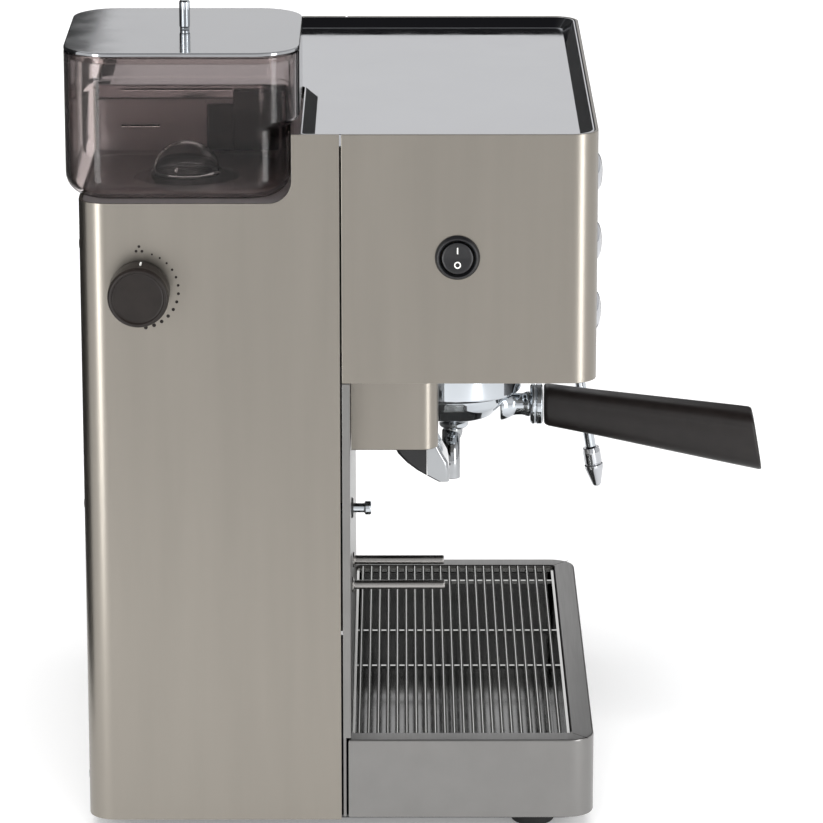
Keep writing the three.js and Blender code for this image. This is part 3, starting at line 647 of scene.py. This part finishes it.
def lid_lip():
    """The low wall under the lid that locates it in the tank."""
    under = LID_HIGH.z - 2.3
    rings = [level(hopper_plan(3.2, 1), under), level(hopper_plan(3.2, 1), LID_LOW.z),
             level(hopper_plan(4.4, 1), LID_LOW.z), level(hopper_plan(4.4, 1), under)]
    piece(build("lid_lip", loft(rings, closed=True)), "lid", SMOKY, edge=0.3)


def lid_pull():
    low, high = span("lid_pin")
    centre = middle("lid_pin")
    pin = soft([(0, low.z - 0.4), (2.45, low.z - 0.4), (2.45, low.z + 1.2), (2.75, low.z + 1.6),
                (2.75, high.z - 0.9), (2.1, high.z), (0, high.z)], 0.3)
    pull = build("lid_pull", lathe(pin, (centre.x, centre.y, 0), "z", 48))
    piece(pull, "lid", CHROME, ["lid_pin"], angle=40)


def hopper():
    bean_tank()
    tank_ribs()
    throat_guard()
    interlock_cover()
    lid_plate()
    lid_lip()
    lid_pull()


def side_knob(node, side, body, name):
    """A side knob: a skirt by the casing, a round grip, and a shallow dished face in a thin raised rim."""
    low, high = span(node)
    centre = (low + high) / 2
    radius = (high.y - low.y) / 2
    reach = high.x - HALF if side > 0 else -HALF - low.x
    profile = [
        (0, -1), (radius - 2, -1), (radius - 2, 0.5), (radius - 0.9, 0.7), (radius - 0.3, 1.6), (radius, 3.2),
        (radius, reach - 2.2), (radius - 0.5, reach - 0.6), (radius - 1.3, reach), (radius - 2.1, reach),
        (radius - 2.6, reach - 0.9), (radius - 3.4, reach - 1.1), (0, reach - 1.1),
    ]
    shape = lathe([(r, side * h) for r, h in soft(profile, 0.45)], (side * HALF, centre.y, centre.z), "x", 96)
    piece(build(name, shape), body, DARK, [node], angle=40)
    line = block(-0.5, 0.5, -0.35, 0.25, 4.5, reach - 8)
    lean = Matrix.Rotation(math.radians(4), 4, "X") @ Matrix.Translation((0, 0, radius))
    upright = Matrix.Rotation(side * math.pi / 2, 4, "Y") @ Matrix.Rotation(math.pi / 2, 4, "Z")
    turn = Matrix.Translation((side * HALF, centre.y, centre.z)) @ lean @ upright
    piece(build(name + "_pointer", moved(line, turn)), body, WHITE, edge=0.12)


def grind_scale():
    """Dots round the grind knob that grow as the grind gets coarser, and a cluster at the start."""
    centre = middle("grind_knob")
    ring = 20.0
    first, pitch, last = 70.7, 12.7, 12
    dots = [(first - pitch * k, ring, 0.5 + 0.55 * k / last) for k in range(last + 1)]
    dots += [(90 + turn, ring + out, 0.75) for turn, out in ((-4.2, 0.6), (4.2, 0.6), (0, 3.0))]
    marks = []
    for angle, reach, radius in dots:
        a = math.radians(angle)
        spot = (-HALF - 0.06, centre.y - reach * math.cos(a), centre.z + reach * math.sin(a))
        marks.append(lathe([(0, 0), (radius, 0), (radius, 0.12), (0, 0.12)], spot, "x", 20))
    piece(build("grind_scale", together(*marks)), "chassis", INK)


def fork_bars():
    for k in (1, 2):
        low, high = span(f"fork_rod_{k}")
        centre = (low + high) / 2
        back = high.y
        end = low.y - back
        profile = soft([
            (0, 0), (4.2, 0), (4.2, -0.9), (2.45, -1.3), (2.45, end + 0.5), (1.95, end), (0, end),
        ], 0.3)
        shape = lathe(profile, (centre.x, back, centre.z), "y", 48)
        piece(build(f"fork_bar_{k}", shape), "chassis", ROD_STEEL, [f"fork_rod_{k}"], angle=50)


def dosing_button():
    low, high = span("dosing_plunger")
    centre = (low + high) / 2
    profile = soft([(0, high.y), (2.5, high.y), (2.5, low.y + 3.6), (3.65, low.y + 3.2), (3.65, low.y + 0.6),
                    (3.1, low.y), (0, low.y)], 0.35)
    knob = build("dosing_button", lathe(profile, (centre.x, 0, centre.z), "y", 48))
    piece(knob, "plunger", CHROME, ["dosing_plunger"], angle=40)
    panel = span("column_front_panel")[0].y
    ring = soft([(2.9, 0.3), (5.6, 0.3), (5.6, -0.5), (4.8, -1.1), (2.9, -1.1), (2.9, 0.3)], 0.3)
    bush = build("dosing_bush", lathe(ring[:-1], (centre.x, panel, centre.z), "y", 48))
    piece(bush, "chassis", BLACK, angle=40)


def chute():
    low, high = span("chute_cover")
    wall = 1.5

    def plan(inset):
        return outline([(low.x + inset, high.y), (low.x + inset, low.y + inset, 9.5 - inset),
                        (high.x - inset, low.y + inset, 9.5 - inset), (high.x - inset, high.y)])

    rings = [level(plan(0), high.z), level(plan(0), low.z + 0.3), level(plan(0.3), low.z),
             level(plan(wall - 0.3), low.z), level(plan(wall), low.z + 0.3), level(plan(wall), high.z - wall)]
    piece(build("chute_casing", loft(rings)), "chassis", STEEL, ["chute_cover"], angle=30)
    refined("chute_scoop", "chassis", BLACK, 0.4)
    refined("chute_lip", "chassis", SHADED_CHROME, 0.35, 3)


def grinder():
    side_knob("grind_knob", -1, "grind_dial", "grind_dial_knob")
    grind_scale()
    fork_bars()
    dosing_button()
    chute()
    for node, body, look, slot in (
        ("grinder_body", "chassis", CAST, "cast_metal"),
        ("lower_burr", "spindle", CAST, "cast_metal"),
        ("burr_carrier", "carrier", CAST, "cast_metal"),
        ("grinder_motor", "chassis", BLACK_METAL, "black_metal"),
    ):
        refined(node, body, look, 0.3)


# --- Controls ---

def switch_ring(centre, radius):
    profile = soft([
        (8.75, -0.1), (radius, -0.1), (radius - 0.1, 1.0), (radius - 1.2, 2.5), (radius - 1.9, 2.7),
        (9.1, 1.5), (8.75, 1.2),
    ], 0.35)
    ring = lathe([(r, -h) for r, h in profile], (-HALF, centre.y, centre.z), "x", 96)
    piece(build("switch_ring", ring), "chassis", BLACK, ["switch_bezel"], angle=40)


def paddle_face(z):
    """How far the paddle's shallow V stands out, at a height from its middle."""
    return -1.9 - 1.35 * math.sqrt((z / PADDLE_RADIUS) ** 2 + 0.01)


def switch_paddle(tilt):
    segments, rings = 64, 10
    spokes = [2 * math.pi * i / segments for i in range(segments)]
    points = [Vector((paddle_face(0), 0, 0))]
    for k in range(1, rings + 1):
        reach = PADDLE_RADIUS * 0.955 * k / rings
        sunk = 0.35 if k == rings else 0
        for a in spokes:
            y, z = reach * math.cos(a), reach * math.sin(a)
            points.append(Vector((paddle_face(z) + sunk, y, z)))
    for depth, reach in ((-1.5, PADDLE_RADIUS - 0.15), (0, PADDLE_RADIUS), (3.5, PADDLE_RADIUS - 0.8)):
        points += [Vector((depth, reach * math.cos(a), reach * math.sin(a))) for a in spokes]
    faces = [(0, 1 + i, 1 + (i + 1) % segments) for i in range(segments)]
    for k in range(rings + 2):
        here = 1 + k * segments
        for i in range(segments):
            j = (i + 1) % segments
            faces.append((here + i, here + segments + i, here + segments + j, here + j))
    back = 1 + (rings + 2) * segments
    faces.append(tuple(range(back, back + segments)))
    paddle = build("switch_paddle", moved((points, faces), tilt))
    piece(paddle, "power_rocker", BLACK, ["switch_rocker"], angle=50)


def switch_marks(tilt):
    """The I and O, laid on the paddle's face."""
    def laid(points, lift):
        return [Vector((paddle_face(p.y) - lift, p.x, p.y)) for p in points]

    def circle(radius, z):
        turns = [2 * math.pi * k / 40 for k in range(40)]
        return [Vector((radius * math.cos(a), z + radius * math.sin(a))) for a in turns]

    line = rectangle(-0.32, 0.32, 2.2, 5.6, 0.1, 2)
    stroke = loft([laid(line, -0.3), laid(line, 0.1)])
    outer, inner = circle(1.75, -3.5), circle(1.15, -3.5)
    zero = loft([laid(outer, -0.3), laid(outer, 0.1), laid(inner, 0.1), laid(inner, -0.3)], closed=True)
    marks = build("switch_marks", moved(together(stroke, zero), tilt))
    piece(marks, "power_rocker", WHITE)


def power_switch():
    low, high = span("switch_bezel")
    centre = (low + high) / 2
    switch_ring(centre, (high.y - low.y) / 2)
    pivot = Vector((-HALF - 0.7, centre.y, centre.z))
    tilt = Matrix.Translation(pivot) @ Matrix.Rotation(math.radians(6), 4, "Y")
    switch_paddle(tilt)
    switch_marks(tilt)


def buttons():
    radius = BUTTON_RADIUS
    hole = radius + 0.35
    rim = soft([(hole, 0), (13, 0), (13, -1.6), (12.2, -2.5), (11.3, -2.5), (hole, -1.9)], 0.4)
    for k, body in ((1, "top_button"), (2, "middle_button"), (3, "bottom_button")):
        centre = middle(f"button_{k}")
        place = (centre.x, FRONT, centre.z)
        collar = build(f"button_ring_{k}", lathe(rim, place, "y", 80))
        piece(collar, "chassis", CHROME, [f"button_bezel_{k}"], angle=40)
        reach = span(f"button_{k}")[0].y - FRONT
        dome = [(0, 8.5), (radius - 0.6, 8.5), (radius - 0.1, 8), (radius, -1.6)]
        for j in range(1, 12):
            a = math.pi / 2 * j / 12
            dome.append((radius * math.cos(a) ** 0.8, -1.6 + (reach + 1.6) * math.sin(a)))
        cap = build(f"button_dome_{k}", lathe(dome + [(0, reach)], place, "y", 80))
        piece(cap, body, MIRROR, [f"button_{k}"], angle=40)


def gauge_case(place, radius, face):
    profile = soft([
        (radius - 3, -0.1), (radius, -0.1), (radius, -3.6), (radius - 1.2, -5.1), (radius - 2.4, -5.2),
        (radius - 3.6, -4.5), (radius - 3, -4.3),
    ], 0.5)
    rim = build("gauge_rim", lathe(profile, place, "y", 96))
    piece(rim, "chassis", CHROME, ["gauge_bezel"], angle=40)
    dial = lathe(soft([(0, -0.3), (face, -0.3), (face, -1.0), (0, -1.0)], 0.2), place, "y", 80)
    piece(build("gauge_face", dial), "chassis", DIAL, ["gauge_dial"], angle=40)
    dished = soft([(0, -3.3), (face, -3.3), (face, -3.9), (face * 0.6, -4.4), (0, -4.6)], 0.2)
    lens = build("gauge_window", lathe(dished, place, "y", 80))
    piece(lens, "chassis", GLASS, ["gauge_glass"], angle=40)


def gauge_ticks(place, face):
    """Plain ticks over three quarters of a turn, with each fourth one longer."""
    ticks = []
    for k in range(33):
        angle = math.radians(225 - 270 * k / 32)
        half, length = (0.35, 3.6) if k % 4 == 0 else (0.2, 2.2)
        tick = block(face - 2 - length, face - 2, -1.12, -0.9, -half, half)
        ticks.append(moved(tick, Matrix.Translation(place) @ Matrix.Rotation(-angle, 4, "Y")))
    piece(build("gauge_ticks", together(*ticks)), "chassis", INK)


def gauge_hand(place):
    spin = Matrix.Translation(place) @ Matrix.Rotation(math.radians(225), 4, "Y")
    plan = [(-0.9, -5), (0.9, -5), (0.5, 8), (0.12, 19), (-0.12, 19), (-0.5, 8)]
    hand = loft([[Vector((x, y, z)) for x, z in plan] for y in (-2.4, -1.9)])
    boss = lathe(soft([(0, -1.5), (2.3, -1.5), (2.3, -2.4), (1.6, -2.9), (0, -3.0)], 0.2), (0, 0, 0), "y", 40)
    needle = build("gauge_hand", moved(together(hand, boss), spin))
    piece(needle, "needle", RED, ["gauge_needle"], angle=40)


def gauge():
    low, high = span("gauge_bezel")
    centre = (low + high) / 2
    place = (centre.x, FRONT, centre.z)
    radius = (high.z - low.z) / 2
    face = radius - 3.2
    gauge_case(place, radius, face)
    gauge_ticks(place, face)
    gauge_hand(place)


def controls():
    power_switch()
    buttons()
    gauge()


# --- Brewing and steam ---

def group_head():
    low, high = span("group_head")
    centre = middle("group_gasket")
    place = (centre.x, centre.y, 0)
    z = low.z
    profile = soft([
        (0, high.z), (28, high.z), (34, high.z - 6), (34, z + 22), (35.5, z + 18.5), (38, z + 16),
        (38, z + 1.2), (37, z), (31.2, z), (31.2, z + 2.6), (35.2, z + 2.6), (35.2, z + 7.4), (31, z + 7.4),
        (31, z + 14.5), (0, z + 14.5),
    ], 0.9)
    bell = build("group_bell", lathe(profile, place, "z", 96))
    entry = block(-35, 35, -8, 8, z - 1, z + 3.2)
    cut(bell, moved(entry, Matrix.Translation(place) @ Matrix.Rotation(math.radians(-45), 4, "Z")))
    piece(bell, "chassis", CHROME, ["group_head"], angle=35)
    refined("group_gasket", "chassis", RUBBER, 0.3)
    plate = soft([(0, z + 8.8), (23.6, z + 8.8), (23.6, z + 10.4), (0, z + 10.4)], 0.3)
    screen = build("spray_plate", lathe(plate, place, "z", 64))
    piece(screen, "chassis", MIRROR, ["shower_screen"])


def holder_ear(side, z):
    """One of the two lugs that lock the bowl in the group, in the bowl's own plan."""
    arc = [side + math.radians(a) for a in range(-11, 12, 2)]
    plan = [Vector((34.6 * math.cos(a), 34.6 * math.sin(a))) for a in arc]
    plan += [Vector((29 * math.cos(a), 29 * math.sin(a))) for a in arc[::-1]]
    return prism(plan, z + 3, z + 6.6)


def holder_bowl(centre, z):
    place = (centre.x, centre.y, 0)
    bowl = soft([
        (3, z - 23), (8, z - 23), (8.6, z - 19), (13, z - 17.6), (22, z - 14.5), (28, z - 8), (30, z - 2),
        (30, z + 6.6), (28, z + 6.6), (28, z - 2), (25, z - 9), (19, z - 13), (8, z - 15), (3, z - 15.6),
    ], 1.6, 5)
    ears = [moved(holder_ear(side, z), Matrix.Translation(place)) for side in (0, math.pi)]
    start = centre.y - 26
    end = span("handle_ferrule")[0].y
    neck = soft([(0, start), (9.5, start), (8.4, start - 4), (6.3, start - 8), (6.2, end + 11),
                 (7.2, end + 8.4), (7.2, end + 7.2), (0, end + 7.2)], 1.5, 5)
    neck_place = (centre.x, 0, middle("handle_ferrule").z)
    parts = [lathe(bowl, place, "z", 96), *ears, lathe(neck, neck_place, "y", 64)]
    holder = build("holder_bowl", together(*parts))
    piece(holder, "filter_holder", CHROME, ["portafilter_body"], angle=35)


def basket_cup(centre, z):
    profile = soft([(0, z - 7.2), (22, z - 7.2), (24, z - 4), (26.6, z + 6.9), (30, z + 6.9), (30, z + 7.6),
                    (25.8, z + 7.6), (23.2, z - 3.6), (21.6, z - 6.4), (0, z - 6.4)], 0.3)
    basket = build("basket_cup", lathe(profile, (centre.x, centre.y, 0), "z", 80))
    piece(basket, "filter_holder", MIRROR, ["filter_basket"], angle=35)


def twin_spout(centre):
    """Two oval tubes that part under the bowl and turn down side by side."""
    low, high = span("portafilter_spout")
    x, y, top = centre.x, centre.y, high.z
    reach = (high.x - low.x) / 2 - 3.4
    widen = Matrix.Diagonal((1, 1.45, 1, 1))
    oval = Matrix.Translation((0, y + 1.6, 0)) @ widen @ Matrix.Translation((0, -y, 0))
    parts = []
    for side in (-1, 1):
        path = curve_points([
            (x, y, top - 3), (x + side * 4.5, y, top - 4.8), (x + side * 9.5, y, top - 9),
            (x + side * reach, y, top - 16), (x + side * reach, y, low.z + 2), (x + side * reach, y, low.z),
        ])
        radii = [3.5] * (len(path) - 3) + [3.4, 3.2, 2.7]
        parts.append(moved(sweep(path, radii, 32), oval))
    hub = soft([(0, 0.2), (5.0, 0.2), (5.1, -1.5), (5.0, -3.2), (4.2, -6), (3, -7), (0, -7)], 0.8)
    parts.append(lathe([(r, h + top) for r, h in hub], (x, y, 0), "z", 64))
    spout = build("twin_spout", together(*parts))
    piece(spout, "filter_holder", SHADED_CHROME, ["portafilter_spout"], angle=45)


def handle_collar(centre):
    low, high = span("handle_ferrule")
    ring = soft([
        (6.3, high.y), (10.2, high.y), (11.4, high.y - 1.2), (11.4, high.y - 2.6), (10.9, high.y - 3.0),
        (10.9, high.y - 3.4), (11.4, high.y - 3.8), (11.4, low.y + 0.6), (10.9, low.y), (6.3, low.y),
    ], 0.35)
    collar = build("handle_collar", lathe(ring, (centre.x, 0, middle("handle_ferrule").z), "y", 80))
    piece(collar, "filter_holder", CHROME, ["handle_ferrule"], angle=40)


def filter_holder():
    centre = middle("filter_basket")
    seat = span("filter_basket")[1].z - 7.6
    holder_bowl(centre, seat)
    basket_cup(centre, seat)
    twin_spout(centre)
    handle_collar(centre)
    grip(centre.x)


def grip(x):
    """The handle: it swells and drops towards its slanted end, with a faint crease above its middle."""
    low, high = span("portafilter_handle")
    start, end = high.y, low.y + 3.2
    z0 = middle("handle_ferrule").z
    z1 = z0 - 20.2
    stations = [
        (0.0, 18.5, 19.8), (0.006, 20.2, 21.6), (0.02, 21.0, 22.6), (0.08, 21.6, 23.2), (0.25, 22.6, 24.8),
        (0.45, 24.0, 27.4), (0.65, 25.4, 30.0), (0.85, 27.0, 32.6), (0.985, 28.0, 34.2), (0.996, 27.4, 33.6),
        (1.0, 26.2, 32.4),
    ]
    segments = 56
    power = 0.62
    rings = []
    for t, width, height in stations:
        ring = []
        for k in range(segments):
            a = 2 * math.pi * k / segments
            px = math.copysign(abs(math.cos(a)) ** power, math.cos(a)) * width / 2
            pz = math.copysign(abs(math.sin(a)) ** power, math.sin(a)) * height / 2
            crease = math.exp(-((pz / height - 0.2) / 0.035) ** 2) * min(1, t * 8)
            px *= 1 - 0.035 * crease
            centre = z0 + (z1 - z0) * t
            ring.append(Vector((x + px, start + (end - start) * t + 0.17 * t * pz, centre + pz)))
        rings.append(ring)
    handle = build("handle_grip", loft(rings))
    piece(handle, "filter_holder", GRIP, ["portafilter_handle"], angle=45)


def steam_wand():
    """The ball and its stem, the pipe with its nut over the ball, and the tapered tip."""
    low = span("wand_nozzle")[0]
    ball = 6.5
    socket = span("wand_ball")[0] + Vector((ball, ball, ball))
    tip = Vector((socket.x, low.y + 1.6, low.z + 0.2))
    length = (tip - socket).length
    place = Matrix.Translation(socket) @ (tip - socket).to_track_quat("Z", "Y").to_matrix().to_4x4()
    sphere = [(ball * math.sin(a), -ball * math.cos(a)) for a in (math.pi * k / 20 for k in range(21))]
    sphere[0], sphere[-1] = (0, -ball), (0, ball)
    neck = [(0, 4), (4, 5), (4, 14), (0, 14)]
    joint = build("wand_joint", together(lathe(sphere, socket, "z", 48), lathe(neck, socket, "z", 40)))
    piece(joint, "wand_swivel", CHROME, ["wand_ball"], angle=40)
    nut = soft([(6.9, 1.6), (8.6, 1.6), (8.6, 6.6), (6.4, 9), (3.6, 9.4), (3.1, 10.5), (3.1, length - 24.2),
                (0, length - 24.2), (0, 7.2), (4.6, 5.2)], 0.5)
    tube = build("wand_pipe", moved(lathe(nut, (0, 0, 0), "z", 48), place))
    piece(tube, "wand", CHROME, ["wand_tube"], angle=40)
    profile = soft([(0, length - 24), (4.6, length - 24), (5.1, length - 21), (5.1, length - 14.6),
                    (4.7, length - 14.2), (4.7, length - 13.8), (5.4, length - 13.4), (5.4, length - 11.5),
                    (2.4, length - 1.2), (1.5, length - 0.2), (0, length)], 0.4)
    nozzle = build("wand_tip", moved(lathe(profile, (0, 0, 0), "z", 64), place))
    piece(nozzle, "wand", MIRROR, ["wand_nozzle"], angle=40)


def brewing():
    group_head()
    filter_holder()
    steam_wand()
    side_knob("steam_knob", 1, "steam_tap", "steam_tap_knob")
    for node, look, slot in (
        ("boiler", BRASS, "brass"),
        ("pump", BLACK, "black_plastic"),
        ("water_tank", CLEAR, "clear_plastic"),
        ("steam_valve", BRASS, "brass"),
    ):
        refined(node, "chassis", look, 0.3)


# --- Drip tray ---

def tray_outline(inset):
    front = TRAY_LOW.y + inset
    back = TRAY_HIGH.y - inset
    left, right = TRAY_LOW.x + inset, TRAY_HIGH.x - inset
    soft_corner = max(CORNER - inset, 2)
    return outline([
        (left, front, soft_corner), (right, front, soft_corner), (right, back, 0.4), (left, back, 0.4),
    ])


def tray_opening(inset):
    return rectangle(GRATE_LOW.x - GAP + inset, GRATE_HIGH.x + GAP - inset, GRATE_LOW.y - GAP + inset,
                     GRATE_HIGH.y + GAP - inset, max(TRAY_CORNER - inset, 0.6))


def tray_casing():
    low, top = TRAY_LOW.z, TRAY_HIGH.z
    rings = [
        level(tray_outline(1.0), low), level(tray_outline(0.3), low + 0.3),
        level(tray_outline(0), low + 1.0), level(tray_outline(0), top - 1.1),
        level(tray_outline(0.35), top - 0.3), level(tray_outline(1.1), top),
        level(tray_opening(-0.5), top), level(tray_opening(0), top - 0.4),
        level(tray_opening(0), top - SHEET), level(tray_outline(SHEET), top - SHEET),
        level(tray_outline(SHEET), low + SHEET),
    ]
    piece(build("tray_casing", loft(rings)), "tray", STEEL_FLAT, ["drip_tray"], angle=28)


def tray_mitres():
    """The fine seams across the rim's two front corners."""
    top = TRAY_HIGH.z
    seams = []
    for side in (-1, 1):
        inner = Vector((side * (GRATE_HIGH.x + 0.9), GRATE_LOW.y - 0.9, top))
        outer = Vector((side * (TRAY_HIGH.x - 3.4), TRAY_LOW.y + 3.4, top))
        across = (outer - inner).cross(Vector((0, 0, 1))).normalized() * 0.14
        plan = [Vector((p.x, p.y)) for p in (inner - across, outer - across, outer + across, inner + across)]
        seams.append(prism(plan, top - 0.2, top + 0.03))
    piece(build("tray_mitres", together(*seams)), "tray", INK)


def drip_tray():
    tray_casing()
    tray_mitres()
    # The drip pan's darkened steel is a painted dark reflection
    refined("drip_pan", "tray", PAN_STEEL_PAINTED_DARK, 0.5, 3)


def drip_grate():
    """A flat frame with round bars across the machine's width and thin ties under them."""
    top, low = GRATE_HIGH.z, GRATE_LOW.z
    rim = top - 1.4
    frame_rings = [level(tray_opening(GAP + 0.2), rim), level(tray_opening(GAP), rim - 0.2),
                   level(tray_opening(GAP), low), level(tray_opening(GAP + 1.6), low),
                   level(tray_opening(GAP + 1.6), rim)]
    parts = [loft(frame_rings, closed=True)]
    turns = [2 * math.pi * j / 16 for j in range(16)]
    first = GRATE_HIGH.y - 4.05 + GAP
    for k in range(22):
        y, z = first - BAR_PITCH * k, top - BAR_RADIUS
        circle = [Vector((y + BAR_RADIUS * math.cos(a), z + BAR_RADIUS * math.sin(a))) for a in turns]
        parts.append(along_x(circle, GRATE_LOW.x + 0.3, GRATE_HIGH.x - 0.3))
    for x in (-31, 31, 124):
        parts.append(block(x - 1, x + 1, GRATE_LOW.y + 1, GRATE_HIGH.y - 1, low, top - 1.5))
    grate = build("grate_bars", together(*parts))
    piece(grate, "grate", GRATE_STEEL, ["drip_grate"], angle=30)


# --- Studio ---

def soft_light(name, place, target, size, power):
    lamp = bpy.data.lights.new(name, "AREA")
    lamp.shape = "RECTANGLE"
    lamp.size, lamp.size_y = size
    lamp.energy = power
    thing = bpy.data.objects.new(name, lamp)
    thing.location = place
    thing.rotation_euler = (Vector(target) - Vector(place)).to_track_quat("-Z", "Y").to_euler()
    thing.visible_camera = False
    bpy.context.scene.collection.objects.link(thing)


def flag(name, place, size):
    """An upright dark card across the machine's width that only shows in reflections and through glass."""
    half = Vector((size[0] / 2, 0.004, size[1] / 2))
    card = build(name, block(-half.x, half.x, -half.y, half.y, -half.z, half.z), 1)
    card.location = place
    card.data.materials.append(moulded("flag_felt", (0.02, 0.02, 0.02), (0.8, 0.9), 60, 0.05))
    card.visible_camera = False
    card.visible_diffuse = False
    card.visible_shadow = False


def paper_floor():
    reach = 9
    corners = [Vector(p) for p in ((-reach, -reach), (reach, -reach), (reach, reach), (-reach, reach))]
    floor = build("floor", prism(corners, -0.02, 0), 1)
    glow = {"Emission_Color": (1, 1, 1, 1), "Emission_Strength": 0.22}
    paper = material("floor_paper", (0.88, 0.88, 0.88), 0.0, 0.8, **glow)
    vary_color(paper, noise(paper, 6), (0.875, 0.875, 0.875), (0.885, 0.885, 0.885))
    floor.data.materials.append(paper)


def sky():
    """A pale surround that turns dark overhead."""
    world = bpy.data.worlds.new("studio")
    world.use_nodes = True
    bpy.context.scene.world = world
    nodes, links = world.node_tree.nodes, world.node_tree.links
    place = nodes.new("ShaderNodeTexCoord")
    split = nodes.new("ShaderNodeSeparateXYZ")
    ramp = nodes.new("ShaderNodeValToRGB")
    steps = ramp.color_ramp.elements
    steps[0].position, steps[0].color = 0.0, (0.80, 0.80, 0.81, 1)
    steps[1].position, steps[1].color = 1.0, (0.02, 0.02, 0.022, 1)
    for position, value in ((0.16, 0.84), (0.26, 0.97), (0.40, 0.97), (0.62, 0.75), (0.80, 0.06)):
        step = steps.new(position)
        step.color = (value, value, value * 1.01, 1)
    links.new(place.outputs["Generated"], split.inputs["Vector"])
    links.new(split.outputs["Z"], ramp.inputs["Fac"])
    links.new(ramp.outputs["Color"], nodes["Background"].inputs["Color"])
    nodes["Background"].inputs["Strength"].default_value = 1.0


def key_light():
    sun = bpy.data.lights.new("key", "SUN")
    sun.energy = 2.4
    sun.angle = math.radians(50)
    key = bpy.data.objects.new("key", sun)
    key.rotation_euler = Vector((0.3, 0.0, -0.95)).to_track_quat("-Z", "Y").to_euler()
    key.visible_glossy = False
    bpy.context.scene.collection.objects.link(key)


def studio():
    paper_floor()
    sky()
    key_light()
    soft_light("back_strip", (-0.67, 0.52, 0.33), (-0.15, 0.17, 0.33), (0.16, 0.64), 2.4)
    soft_light("front_strip", (-0.57, -0.53, 0.33), (-0.15, -0.08, 0.33), (0.18, 0.64), 2.4)
    flag("back_flag", (1.75, 0.40, 0.55), (3.8, 1.1))
    flag("front_flag", (2.15, -0.42, 0.55), (3.0, 1.1))


def photo_camera():
    """The photograph's view: square on to the left side, from a little above, with a long lens."""
    data = bpy.data.cameras.new("camera")
    data.sensor_width = 36
    data.lens = 208.4
    camera = bpy.data.objects.new("camera", data)
    distance, height, pitch, yaw, across = 2.3748, 0.8982, 0.27247, 0.00253, 0.0149
    flat = Vector((math.cos(yaw), -math.sin(yaw), 0))
    ahead = flat * math.cos(pitch) - Vector((0, 0, math.sin(pitch)))
    right = flat.cross(Vector((0, 0, 1)))
    up = right.cross(ahead)
    place = Matrix.Translation((-HALF * MM - distance, across, height))
    camera.matrix_world = place @ Matrix((right, up, -ahead)).transposed().to_4x4()
    bpy.context.scene.collection.objects.link(camera)
    bpy.context.scene.camera = camera


photo_camera()
studio()
casing()
hopper()
grinder()
controls()
brewing()
drip_tray()
drip_grate()
bpy.context.scene.view_settings.view_transform = "Standard"
